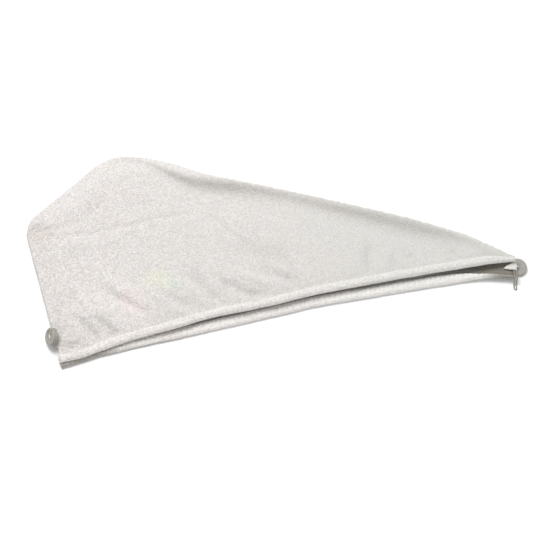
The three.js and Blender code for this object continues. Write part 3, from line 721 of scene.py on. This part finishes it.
def addElasticLoop():
    route = curveThrough(np.array(elastic["points"], float) * mm, 12) + corner
    line = resampled(route, elastic["step"])

    def radius(length, angle):
        wave = 2 * math.pi * length / elastic["turn"]
        half = elastic["strands"] / 2
        braid = np.abs(np.sin(half * angle + wave)) * np.abs(np.sin(half * angle - wave))
        return elastic["diameter"] / 2 + elastic["relief"] * (braid - 1)

    points, faces = tubeMesh(line, radius, elastic["sides"])
    piece = makeObject("elasticLoop", points, faces, elasticFinish)
    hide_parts("elastic_loop")
    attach(piece, "root")


addElasticLoop()
print("elastic loop laid")

# Terry panels: a fine outer side, and a coarser inner side joined round the rim
panels = {
    "upperGrid": (372, 168),  # cells along and across
    "lowerGrid": (252, 114),
    "coarser": 3,  # cells of the outer side to one of the inner side, each way
    "nose": 3 * mm,  # the cloth rounds off this near the seam
    "noseShare": 0.3,
    "pileRelief": 0.11 * mm,
    "swell": 0.5 * mm,  # slow unevenness of cloth that lies loose
    "pucker": 13 * mm,  # spacing of the puckers along the seam
    "puckerDepth": 0.8 * mm,
    "puckerReach": 9 * mm,
    "puckerLeast": 0.35,  # of its depth, before the shares of the seam in puckerRise
    "puckerRise": (0.45, 0.75),
    "puckerWander": {"turns": 4.1, "amount": 2.2, "depthTurns": 2.3, "depth": 0.4},
    "roughEdge": 0.45 * mm,
    "hemDip": 0.4 * mm,  # the panel dips beside its hem
    "hemDipReach": 4 * mm,
    "edgeShade": 0.35,  # painted shade along the seam's edge, where the cloth rounds down
    "valleyShade": 0.02,  # for each millimetre of a fold's depth
    # patches of painted shade, such as the shadow of a puckered fold above the nape end of the hem and at
    # the rear corner
    "shadePatches": (
        {"at": (14, 27), "reach": (16, 5), "amount": 0.13},
        {"at": (-8, 202), "reach": (16, 14), "amount": 0.12},
        {"at": (38, 219), "reach": (30, 8), "amount": 0.04},
        {"at": (22, 150), "reach": (40, 8), "amount": 0.03},
    ),
    "edgeReach": 1.2 * mm,
    # painted shade on the panels' inner side, darkening the mouth: strong by the nape and at the tail end,
    # light in between
    "inside": {"nape": 0.7, "napeFade": (110 * mm, 230 * mm), "middle": 0.1},
    "insideTail": {"shade": 0.9, "fade": (470 * mm, 580 * mm)},
    "rollShadeWidth": 1.3,  # in spreads of the seam's roll
    "notch": {"at": 24 * mm, "half": 5 * mm, "depth": 1.6 * mm, "reach": 9 * mm, "within": 60 * mm},
    "scales": {"pile": (420, 900), "swell": 26, "edge": 330},  # of the noise, each metre
    "lowerGap": 0.15 * mm,  # air under the lower panel's pile
    "crowding": (1.15, 1.12),  # of columns at both ends, and of rows at the seam
}


def crowded(count, power):  # shares that crowd towards both ends
    t = np.linspace(-1, 1, count + 1)
    return 0.5 + 0.5 * np.sign(t) * (1 - (1 - np.abs(t)) ** power)


def noiseField(points, scale, seed):
    offset = Vector((seed * 7.13, seed * 3.71, seed * 1.37))
    values = [noise.noise(Vector(point) * scale + offset) for point in points.reshape(-1, 3)]
    return np.array(values).reshape(points.shape[:-1])


def puckerAt(along, distance):  # shallow scallops along the seam, deeper towards the tail
    turn, wander = 2 * math.pi * along / panels["pucker"], panels["puckerWander"]
    wobble = wander["amount"] * np.sin(turn / wander["turns"])
    uneven = 1 - wander["depth"] * (1 - np.sin(turn / wander["depthTurns"]))
    rise = mix(panels["puckerLeast"], 1, smooth(along / seamLength[-1], *panels["puckerRise"]))
    depth = panels["puckerDepth"] * rise * uneven * bell(distance, panels["puckerReach"])
    return depth * np.sin(turn + wobble)


def paintedShadeAt(x, y, fromSeam):  # share of painted shade in the valleys, below the rolled seam and in a few patches
    step, spread, rollShade = (tableValue(seamRoll, key, x / mm) for key in ("step", "spread", "rollShade"))
    shade = rollShade * bell(fromSeam / mm - step - 1, panels["rollShadeWidth"] * spread)
    shade += np.clip(-foldHeight(x, y) / mm, 0, None) * panels["valleyShade"]
    for patch in panels["shadePatches"]:
        acrossX, acrossY = (patch["reach"][axis] * mm for axis in (0, 1))
        near = bell(x - patch["at"][0] * mm, acrossX) * bell(y - patch["at"][1] * mm, acrossY)
        shade += patch["amount"] * near
    return shade


def outOfSeam(along):  # direction outwards, square to the seam
    ends = [pointAt(seamLine, seamLength, (along + reach) / seamLength[-1]) for reach in (-2 * mm, 2 * mm)]
    ahead = ends[1] - ends[0]
    return unit(np.stack([-ahead[..., 1], ahead[..., 0]], axis=-1))


def panelGrid(edge, under, columns, rows):  # outer and inner side, and how far each point is from the seam
    scales = panels["scales"]
    shares = crowded(columns, panels["crowding"][0])
    front, across = columnEnds(edge, shares)
    length = np.linalg.norm(across - front, axis=1)[:, None]
    width = hemWidthAt(edge, shares)[:, None]
    tucked = width * (1 - pouch["hemTuck"]) / length
    line = tucked + (1 - tucked) * (1 - (1 - np.linspace(0, 1, rows + 1)) ** panels["crowding"][1])
    xy = front[:, None] + (across - front)[:, None] * line[..., None]
    x, y = xy[..., 0], xy[..., 1]
    distance, along = nearestOn(seamLine, x, y)
    fromHem = line * length - width
    level = under(x, y, distance)
    nose = 1 - np.clip(distance / panels["nose"], 0, 1)
    thick = pouch["cloth"] * mix(panels["noseShare"], 1, np.sqrt(1 - nose**2))
    free = smooth(fromHem, 0.3 * mm, 3 * mm) * smooth(distance, 0.5 * mm, 4 * mm)
    flat = np.stack([x, y, np.zeros_like(x)], axis=-1)
    loops, clumps = (noiseField(flat, scale, 1 + n) for n, scale in enumerate(scales["pile"]))
    pile = (loops + 0.6 * clumps) * panels["pileRelief"]
    swell = noiseField(flat, scales["swell"], 3) * panels["swell"]
    dip = panels["hemDip"] * bell(fromHem - 2 * mm, panels["hemDipReach"]) * smooth(fromHem, 0, 2 * mm)
    pucker = puckerAt(along, distance)
    rough = noiseField(flat, scales["edge"], 7) * panels["roughEdge"] * bell(distance, 4 * mm)
    notch = panels["notch"]
    torn = notch["depth"] * bell(y - notch["at"], notch["half"]) * (x < notch["within"])
    shift = 0.8 * pucker + rough - torn * np.exp(-distance / notch["reach"])
    xy = xy + shift[..., None] * outOfSeam(along)
    if edge is upperFront:
        low = level + (swell - dip) * free
        high = low + thick + pile * free + 0.5 * pucker * smooth(distance, 0, 3 * mm)
        heights = (high, low)
    else:
        high = level + pouch["cloth"]
        low = np.maximum(level + (np.abs(pile) + panels["lowerGap"]) * free, leastHeight)
        low = np.where(distance < panels["nose"], high - thick, low)
        heights = (low, high)
    fine, coarse = (np.dstack([xy, height]) + corner for height in heights)
    return fine, coarse, distance.ravel()


def joinShell(fine, coarse, k):  # closed shell: fine side, rim, and the other side in cells of k by k
    columns, rows = fine.shape[0] - 1, fine.shape[1] - 1
    points = list(fine.reshape(-1, 3))
    other = {}

    def at(i, j):
        return i * (rows + 1) + j

    def back(i, j):
        if (i, j) not in other:
            other[(i, j)] = len(points)
            points.append(coarse[i, j])
        return other[(i, j)]

    faces = []
    for i in range(columns):
        faces += [(at(i, j), at(i + 1, j), at(i + 1, j + 1), at(i, j + 1)) for j in range(rows)]
    rim = [(i, 0) for i in range(columns)] + [(columns, j) for j in range(rows)]
    rim += [(i, rows) for i in range(columns, 0, -1)] + [(0, j) for j in range(rows, 0, -1)]
    for a, b in zip(rim, rim[1:] + rim[:1]):
        faces.append((at(*b), at(*a), back(*a), back(*b)))
    onRim = set(rim)
    for i in range(0, columns, k):
        for j in range(0, rows, k):
            walk = [(i + s, j) for s in range(k)] + [(i + k, j + s) for s in range(k)]
            walk += [(i + k - s, j + k) for s in range(k)] + [(i, j + k - s) for s in range(k)]
            kept = [spot for n, spot in enumerate(walk) if n % k == 0 or spot in onRim]
            faces.append(tuple(back(*spot) for spot in reversed(kept)))
    return points, faces


def addPanel(name, node, edge, under, grid):
    fine, coarse, fromSeam = panelGrid(edge, under, *grid)
    points, faces = joinShell(fine, coarse, panels["coarser"])
    x, y = (np.array(points) - corner).T[:2]
    # painted shade: the inner side by the nape and the tail end; the outer side along the seam's edge, in
    # the valleys, below the rolled seam and in patches
    inside, tail = panels["inside"], panels["insideTail"]
    nape = mix(inside["nape"], inside["middle"], smooth(x, *inside["napeFade"]))
    inner = np.maximum(mix(inside["middle"], tail["shade"], smooth(x, *tail["fade"])), nape)
    outer = bell(fromSeam, panels["edgeReach"]) * panels["edgeShade"]
    count = len(outer)
    if edge is upperFront:
        outer += paintedShadeAt(x[:count], y[:count], fromSeam)
    piece = makeObject(name, points, faces, clothFinish, np.r_[outer, inner[count:]])
    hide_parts(node)
    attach(piece, "root")
    return piece


upperPiece = addPanel("upperPanelTerry", "upper_panel", upperFront, upperUnder, panels["upperGrid"])
lowerPiece = addPanel("lowerPanelTerry", "lower_panel", lowerFront, lowerUnder, panels["lowerGrid"])
print("panels:", len(upperPiece.data.polygons), "and", len(lowerPiece.data.polygons), "faces")

# Hems: folded bands with a slot for the panel, a stitched ridge along the inner edge
hemShape = {
    "columns": 520,
    "crown": 1.7 * mm,  # height of the rolled hem above its flat form
    "crownAt": 0.66,  # share of the width from the edge to its highest line
    "lump": 0.55 * mm,
    "gather": {"pitch": 6.8 * mm, "depth": 0.32 * mm},  # small pulls of the stitching
    "pinch": {"at": 0.437, "reach": 5 * mm, "depth": 1 * mm},  # where the upper hem is tucked
    "waver": 0.5 * mm,
    "frayed": 2 * mm,  # at the rear end
    "frayedReach": 3 * mm,
    "slotLip": 0.2 * mm,
    "edgeRound": (0.6 * mm, 0.9 * mm),  # depth and reach at the inner edge
    "endCrowding": 1.05,
    "scales": {"lump": (260, 600), "frayed": 650, "waver": 60},  # of the noise, each metre
}
hemShade = {  # painted shade on the hems: how dark the fronts are, and where along X each shade fades
    "paintedShade": 0.75,  # front of the nape end, below the rounded edge
    "hiddenFade": (120 * mm, 220 * mm),
    "nape": 0.66,  # whole front of the lower hem
    "napeFade": (45 * mm, 95 * mm),
    # painted shade on the lower hem at its tail end
    "tail": 0.8,
    "tailFade": (566 * mm, 598 * mm),
}


def hemSection(width):  # distance in from the edge and height, round the band
    wall, radius, lip = pouch["hemWall"], hemHeight / 2, hemShape["slotLip"]
    slot = width * (1 - pouch["hemTuck"]) - pouch["fit"]
    start = min(radius, 0.45 * width)
    peak = hemShape["crownAt"] * width
    depth, reach = hemShape["edgeRound"]
    section = []
    for across in mix(start, width, np.linspace(1, 0, 13)):
        away = (across - peak) / (peak if across < peak else 1.25 * (width - peak))
        ridge = hemShape["crown"] * min(1, width / pouch["hemWidth"]) * (1 - away * away)
        rounding = depth * max(0, 1 - (width - across) / reach) ** 2
        section.append((across, hemHeight + ridge - rounding))
    for angle in np.linspace(math.pi / 2, -math.pi / 2, 11)[1:-1]:
        section.append((start - start * math.cos(angle), radius + radius * math.sin(angle)))
    section += [(mix(start, width, t), 0) for t in (0, 0.33, 0.66, 0.95)]
    inSlot, roof = mix(width, slot, 0.6), hemHeight - wall
    section += [(width, 0.3 * mm), (width, wall - lip), (width - lip, wall), (inSlot, wall), (slot, wall)]
    section += [(slot, radius), (slot, roof), (inSlot, roof), (width - lip, roof), (width, roof + lip)]
    return np.array(section)


def addHem(name, node, edge, under, finish, frontShade):
    shares = crowded(hemShape["columns"], hemShape["endCrowding"])
    front, across = columnEnds(edge, shares)
    rings = []
    for point, way, width in zip(front, unit(across - front), hemWidthAt(edge, shares)):
        section = hemSection(float(width))
        rings.append(np.column_stack([point + way * section[:, :1], section[:, 1]]))
    rings = np.array(rings)
    x, y, up = np.moveaxis(rings, -1, 0)
    base = under(x, y, seamDistance(x, y)) - hemDrop
    order = np.arange(x.shape[1])[None, :]
    outer = order < 24
    scales = hemShape["scales"]
    wide, small = (noiseField(rings, scale, 4 + n) for n, scale in enumerate(scales["lump"]))
    lump = (wide + 0.6 * small) * hemShape["lump"]
    torn = np.exp(-np.abs(x - rearX(y)) / hemShape["frayedReach"])
    x = x + noiseField(rings, scales["frayed"], 9) * hemShape["frayed"] * torn
    y = y + np.where(outer, noiseField(rings, scales["waver"], 6) * hemShape["waver"], 0)
    gather, pinch = hemShape["gather"], hemShape["pinch"]
    lump += gather["depth"] * np.sin(2 * math.pi * x / gather["pitch"] + 1.7 * np.sin(x / (17 * mm)))
    if edge is upperFront:
        lump -= pinch["depth"] * bell(x - pinch["at"] * pouch["frontLength"], pinch["reach"])
    z = np.maximum(base + up + np.where((up > hemHeight / 2) & outer, lump, 0), leastHeight)
    points = np.stack([x, y, z], axis=-1).reshape(-1, 3) + corner
    # painted shade on the hem's front and underside, and over the lower hem by the nape and at its tail end
    paintedShade = mix(frontShade, hemShade["paintedShade"], 1 - smooth(x, *hemShade["hiddenFade"]))
    shade = np.clip((order - 15) / 4, 0, 1) * paintedShade
    if edge is lowerFront:
        nape = hemShade["nape"] * (1 - smooth(x, *hemShade["napeFade"]))
        tail = hemShade["tail"] * smooth(x, *hemShade["tailFade"])
        shade = np.maximum(shade, np.maximum(nape, tail))
    piece = makeObject(name, points, ringFaces(*x.shape), finish, shade.ravel())
    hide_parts(node)
    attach(piece, "root")
    return piece


upperHem = addHem("upperHemTerry", "upper_hem", upperFront, upperUnder, hemPaintedLight, 0.1)
lowerHem = addHem("lowerHemTerry", "lower_hem", lowerFront, lowerUnder, lowerHemPaintedLight, 0.12)
print("hems folded")

# Stitches: one short thread at each step of a path, by Geometry Nodes
stitch = {
    "pitch": 3.4 * mm,
    "length": 2.5 * mm,
    "radius": 0.32 * mm,
    "fromEdge": 1.2 * mm,
    "above": 0.1 * mm,
    "ends": (0.006, 0.994),
}


def stitchTree():
    inputs = {
        "Geometry": ("Geometry", None),
        "Pitch": ("Float", 0.003),
        "Length": ("Float", 0.0025),
        "Radius": ("Float", 0.0003),
        "Material": ("Material", None),
    }
    tree, given, sink = newGroup("stitchRow", "GeometryNodeTree", inputs, {"Geometry": "Geometry"})

    def step(kind, settings=None, **values):
        return addNode(tree, kind, settings, values).outputs[0]

    path = step("GeometryNodeMeshToCurve", Mesh=given["Geometry"])
    spaced = step("GeometryNodeResampleCurve", {"mode": "LENGTH"}, Curve=path, Length=given["Pitch"])
    bead = step("GeometryNodeMeshUVSphere", Segments=6, Rings=5, Radius=1.0)
    half = mathNode(tree, "MULTIPLY", given["Length"], 0.5)
    size = step("ShaderNodeCombineXYZ", X=given["Radius"], Y=given["Radius"], Z=half)
    shaped = step("GeometryNodeTransform", Geometry=bead, Scale=size)
    tangent = step("GeometryNodeInputTangent")
    turned = step("FunctionNodeAlignRotationToVector", {"axis": "Z"}, Vector=tangent)
    placed = step("GeometryNodeInstanceOnPoints", Points=spaced, Instance=shaped, Rotation=turned)
    real = step("GeometryNodeRealizeInstances", Geometry=placed)
    finished = step("GeometryNodeSetMaterial", Geometry=real, Material=given["Material"])
    fill(tree, sink, {"Geometry": finished})
    return tree


stitchRow = stitchTree()


def hemStitches(name, edge, under):
    shares = np.linspace(*stitch["ends"], 420)
    front, across = columnEnds(edge, shares)
    width = hemWidthAt(edge, shares)
    xy = front + unit(across - front) * (width - stitch["fromEdge"])[:, None]
    x, y = xy.T
    level = under(x, y, seamDistance(x, y)) - hemDrop + hemHeight
    z = level + 0.5 * hemShape["crown"] * np.minimum(1, width / pouch["hemWidth"]) + stitch["above"]
    points = np.column_stack([xy, z]) + corner
    mesh = bpy.data.meshes.new(name + "Path")
    mesh.from_pydata(points.tolist(), [(i, i + 1) for i in range(len(points) - 1)], [])
    carrier = linked(name + "Path", mesh)
    modifier = carrier.modifiers.new("stitches", "NODES")
    modifier.node_group = stitchRow
    values = {label: stitch[label.lower()] for label in ("Pitch", "Length", "Radius")}
    values["Material"] = stitchFinish
    for item in stitchRow.interface.items_tree:  # a modifier's inputs go by their sockets' identifiers
        if item.in_out == "INPUT" and item.name in values:
            modifier[item.identifier] = values[item.name]
    piece = linked(name, evaluatedMesh(carrier))
    piece.data.name = name
    piece.data.shade_smooth()
    bpy.data.objects.remove(carrier)
    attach(piece, "root")
    return piece


upperStitches = hemStitches("upperHemStitches", upperFront, upperUnder)
lowerStitches = hemStitches("lowerHemStitches", lowerFront, lowerUnder)
print("hem stitches:", len(upperStitches.data.polygons), "faces each")

# Seam cloth inside the pouch, and its end that turns down over the tail
strip = {
    "inset": 2.4 * mm,
    "width": 7.5 * mm,
    "thickness": 2.4 * mm,
    "stations": 560,
    "across": 6,
    "tabDrop": 5 * mm,
    "tabWidth": 14 * mm,
    "tabOverhang": 2.5 * mm,
    "tabLength": 12.2 * mm,
    "ragged": 1.1 * mm,
    "fluff": 0.45 * mm,
    "lump": 0.12 * mm,
    "wave": 0.35 * mm,
    "scales": {"lump": 500, "tear": 520, "wave": 700, "fluff": 420},
}


def stripRings(points, inward, distances):  # rings of cloth between the two panels
    rings = []
    for point, way in zip(points, inward):
        x, y = (point + way * distances[:, None]).T
        gap = seamDistance(x, y)
        low = lowerUnder(x, y, gap) + pouch["cloth"] + 1.5 * pouch["fit"]
        high = np.minimum(low + strip["thickness"], upperUnder(x, y, gap) - 2 * pouch["fit"])
        rings.append(np.vstack([np.column_stack([x, y, low]), np.column_stack([x, y, high])[::-1]]))
    return np.array(rings)


def addSeamStrip():
    hemEnd = 2 * pouch["hemWidth"] + pouch["bandBlend"]
    line = np.vstack([np.array([(rearX(hemEnd), hemEnd)]), topSeam])
    length = lengthAlong(line)
    end = 1 - (strip["tabWidth"] + 3 * strip["width"]) / length[-1]
    shares = np.linspace(0, end, strip["stations"])
    reach = strip["width"] / length[-1]
    before, after = (np.clip(shares + way * reach, 0, 1) for way in (-1, 1))
    ahead = pointAt(line, length, after) - pointAt(line, length, before)
    inward = unit(np.column_stack([ahead[:, 1], -ahead[:, 0]]))
    distances = strip["inset"] + strip["width"] * np.linspace(0, 1, strip["across"])
    rings = stripRings(pointAt(line, length, shares), inward, distances)
    upper = np.arange(rings.shape[1]) >= strip["across"]
    rings[..., 2] -= strip["lump"] * np.abs(noiseField(rings, strip["scales"]["lump"], 8)) * upper
    points = rings.reshape(-1, 3) + corner
    piece = makeObject("seamStrip", points, ringFaces(*rings.shape[:2]), insidePaintedShade)
    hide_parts("seam_allowance")
    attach(piece, "root")


def addTailTab():  # narrows to its inner end, with a torn lower edge
    scales = strip["scales"]
    top = tailCorner + pouch["tailHeight"] - strip["tabDrop"]
    steps = np.linspace(0, 1, 40)
    ys = top - strip["tabLength"] * steps
    distances = np.linspace(-strip["tabOverhang"], strip["tabWidth"], 26)
    rings = stripRings(np.column_stack([tailX(ys), ys]), np.tile((-1.0, 0.0), (len(ys), 1)), distances)
    around = np.r_[distances, distances[::-1]]
    upper = np.arange(len(around)) >= len(distances)
    tear = np.array([abs(noise.noise(Vector((d * scales["tear"], 0.3, 0.7)))) for d in around])
    drop = smooth(steps, 0.6, 1)[:, None]
    rings[..., 1] += drop * tear * strip["ragged"] * 2
    narrow = 1 - 0.8 * np.clip(around / strip["tabWidth"], 0, 1) ** 1.1
    middle = top - 0.42 * strip["tabLength"]
    rings[..., 1] = middle + (rings[..., 1] - middle) * narrow
    rings[..., 2] += drop * strip["wave"] * np.sin(around * scales["wave"]) * upper
    fluff = noiseField(rings, scales["fluff"], 11) * strip["fluff"]
    rings[..., 1] += fluff
    rings[..., 2] += np.abs(fluff) * upper
    points = rings.reshape(-1, 3) + corner
    piece = makeObject("tailTabTerry", points, ringFaces(*rings.shape[:2]), hemPaintedLight)
    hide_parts("tail_tab")
    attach(piece, "root")


addSeamStrip()
addTailTab()
print("seam strip and tab ready")

# Two-hole buttons of smoky resin, with thread through the holes and a wound shank
buttons = {
    "bevel": 0.9 * mm,
    "rim": 3 * mm,
    "recess": 1.2 * mm,
    "holeRadius": 1.15 * mm,
    "holeOffset": 2.6 * mm,
    "eye": (5.2 * mm, 1.8 * mm),
    "segments": 96,
    "thread": 0.34 * mm,
    "strands": {"count": 4, "pitch": 0.42 * mm, "lean": 0.12 * mm},
    "shank": 1 * mm,
    "nape": {"radius": 11.6 * mm, "thickness": 6.8 * mm, "tilt": 38},
    "tail": {"radius": 12.3 * mm, "thickness": 4.6 * mm},
}


def arcPoints(centre, radius, start, end, steps):
    angles = np.radians(np.linspace(start, end, steps))
    return [(centre[0] + radius * math.cos(a), centre[1] + radius * math.sin(a)) for a in angles]


def buttonProfile(radius, thickness):  # from the back's middle round the rim to the hollow's middle
    bevel, rim, recess = buttons["bevel"], buttons["rim"], buttons["recess"]
    profile = [(0, 0), (0.5 * radius, 0)]
    profile += arcPoints((radius - bevel, bevel), bevel, -90, 0, 7)
    profile += arcPoints((radius - bevel, thickness - bevel), bevel, 0, 90, 7)
    top, floor = radius - rim, thickness - recess
    profile += arcPoints((top + 0.5 * mm, thickness - 0.5 * mm), 0.5 * mm, 90, 140, 4)
    profile += arcPoints((top - recess, floor + 0.6 * mm), 0.6 * mm, -50, -90, 4)
    return profile + [(0.5 * (top - recess), floor), (0, floor)]


def lathe(profile, segments):
    work = bmesh.new()
    points = [work.verts.new((across, 0, up)) for across, up in profile]
    edges = [work.edges.new(pair) for pair in zip(points, points[1:])]
    turn = {"axis": (0, 0, 1), "cent": (0, 0, 0), "steps": segments, "angle": 2 * math.pi}
    bmesh.ops.spin(work, geom=points + edges, **turn)
    bmesh.ops.remove_doubles(work, verts=work.verts, dist=1e-6)
    bmesh.ops.recalc_face_normals(work, faces=work.faces)
    return meshFrom(work, bpy.data.meshes.new("turned"))


def cutWith(target, work):  # boolean cut by a bmesh, applied at once
    cutter = linked("cutter", meshFrom(work, bpy.data.meshes.new("cutter")))
    modifier = target.modifiers.new("cut", "BOOLEAN")
    modifier.operation = "DIFFERENCE"
    modifier.solver = "EXACT"
    modifier.object = cutter
    result = evaluatedMesh(target)
    target.modifiers.clear()
    target.data = result
    bpy.data.objects.remove(cutter)


def addButton(name, node, size, placement):
    body = linked(name, lathe(buttonProfile(size["radius"], size["thickness"]), buttons["segments"]))
    floor = size["thickness"] - buttons["recess"]
    hollow = Matrix.Translation((0, 0, floor)) @ Matrix.Diagonal((*buttons["eye"], buttons["recess"], 1))
    work = bmesh.new()
    bmesh.ops.create_uvsphere(work, u_segments=40, v_segments=20, radius=1)
    bmesh.ops.transform(work, verts=work.verts, matrix=hollow)
    cutWith(body, work)
    for side in (-1, 1):
        work = bmesh.new()
        bmesh.ops.create_cone(
            work,
            cap_ends=True,
            segments=32,
            radius1=buttons["holeRadius"],
            radius2=buttons["holeRadius"],
            depth=4 * size["thickness"],
            matrix=Matrix.Translation((side * buttons["holeOffset"], 0, 0)),
        )
        cutWith(body, work)
    body.data.transform(placement)
    body.data.materials.clear()
    body.data.materials.append(buttonFinish)
    body.data.shade_smooth()
    body.data.set_sharp_from_angle(angle=math.radians(32))
    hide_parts(node)
    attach(body, "root")


def fromAxes(*columns):  # matrix from its three axes and its place
    return Matrix([[*(column[row] for column in columns)] for row in range(3)] + [[0, 0, 0, 1]])


def boxMiddle(node):
    return Vector([(a + b) / 2 for a, b in zip(*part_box(node))])


def napePlacement():  # leans on the rear seam, face outwards and up, with its back where the part has it
    size = buttons["nape"]
    tilt = math.radians(size["tilt"])
    facing = Vector((-math.cos(tilt), 0, math.sin(tilt)))
    along = Vector((0, 1, 0))
    back = boxMiddle("nape_button") - facing * size["thickness"] / 2
    return fromAxes(along, facing.cross(along), facing, back)


def tailPlacement():  # face down on the floor, half under the tail end
    middle = boxMiddle("tail_button")
    return fromAxes((0, 1, 0), (1, 0, 0), (0, 0, -1), (middle.x, middle.y, buttons["tail"]["thickness"]))


def addThread(name, node, size, placement, shankEnd):  # strands through both holes, and a wound shank
    offset, thread = buttons["holeOffset"], buttons["thread"]
    front = size["thickness"] - buttons["recess"] + 0.35 * mm
    back = -0.5 * mm
    edge = offset - 0.25 * mm
    strands = buttons["strands"]
    lines = []
    for n in range(strands["count"]):
        shift = (n - (strands["count"] - 1) / 2) * strands["pitch"]
        lean = strands["lean"] * math.sin(2.1 * n)
        hole = [(edge, shift * 0.8, back - 0.2 * mm), (edge, shift * 0.8, front - 0.5 * mm)]
        hole.append((offset * 0.75, shift, front + 0.1 * mm))
        other = [(-x, y, z) for x, y, z in hole]
        lines.append([*other, (0, shift + lean, front + 0.22 * mm), *hole[::-1]])
        lines[-1].append((0.1 * mm, shift * 0.5, back - 0.5 * mm))
    start = Vector((0, 0, back))
    axis = Vector(shankEnd) - start
    turns = max(int(axis.length / (2 * thread * 0.95)), 1)
    side = axis.orthogonal().normalized()
    across = axis.normalized().cross(side)
    helix = []
    for step in range(turns * 10 + 1):
        angle = 2 * math.pi * step / 10
        out = side * math.cos(angle) + across * math.sin(angle)
        helix.append(tuple(start + axis * (step / (turns * 10)) + out * (buttons["shank"] - thread)))
    points, faces = [], []
    for line in [*lines, helix]:
        route = resampled(curveThrough(np.array(line, float), 8), 0.35 * mm)
        tube, tubeFaces = tubeMesh(route, lambda length, angle: thread, 8)
        faces += [tuple(len(points) + index for index in face) for face in tubeFaces]
        points += list(tube)
    piece = makeObject(name, points, faces, buttonThread)
    piece.data.transform(placement)
    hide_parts(node)
    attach(piece, "root")


napeSpot, tailSpot = napePlacement(), tailPlacement()
addButton("napeButton", "nape_button", buttons["nape"], napeSpot)
addButton("tailButton", "tail_button", buttons["tail"], tailSpot)
tailKnot = boxMiddle("tail_thread")
tailKnot.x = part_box("tail_thread")[0][0] + buttons["shank"]
tailKnot.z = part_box("tail_thread")[1][2] - 0.8 * mm
addThread("napeThread", "nape_thread", buttons["nape"], napeSpot, (0, 0, -2.2 * mm))
addThread("tailThread", "tail_thread", buttons["tail"], tailSpot, tuple(tailSpot.inverted() @ tailKnot))
print("buttons sewn on")
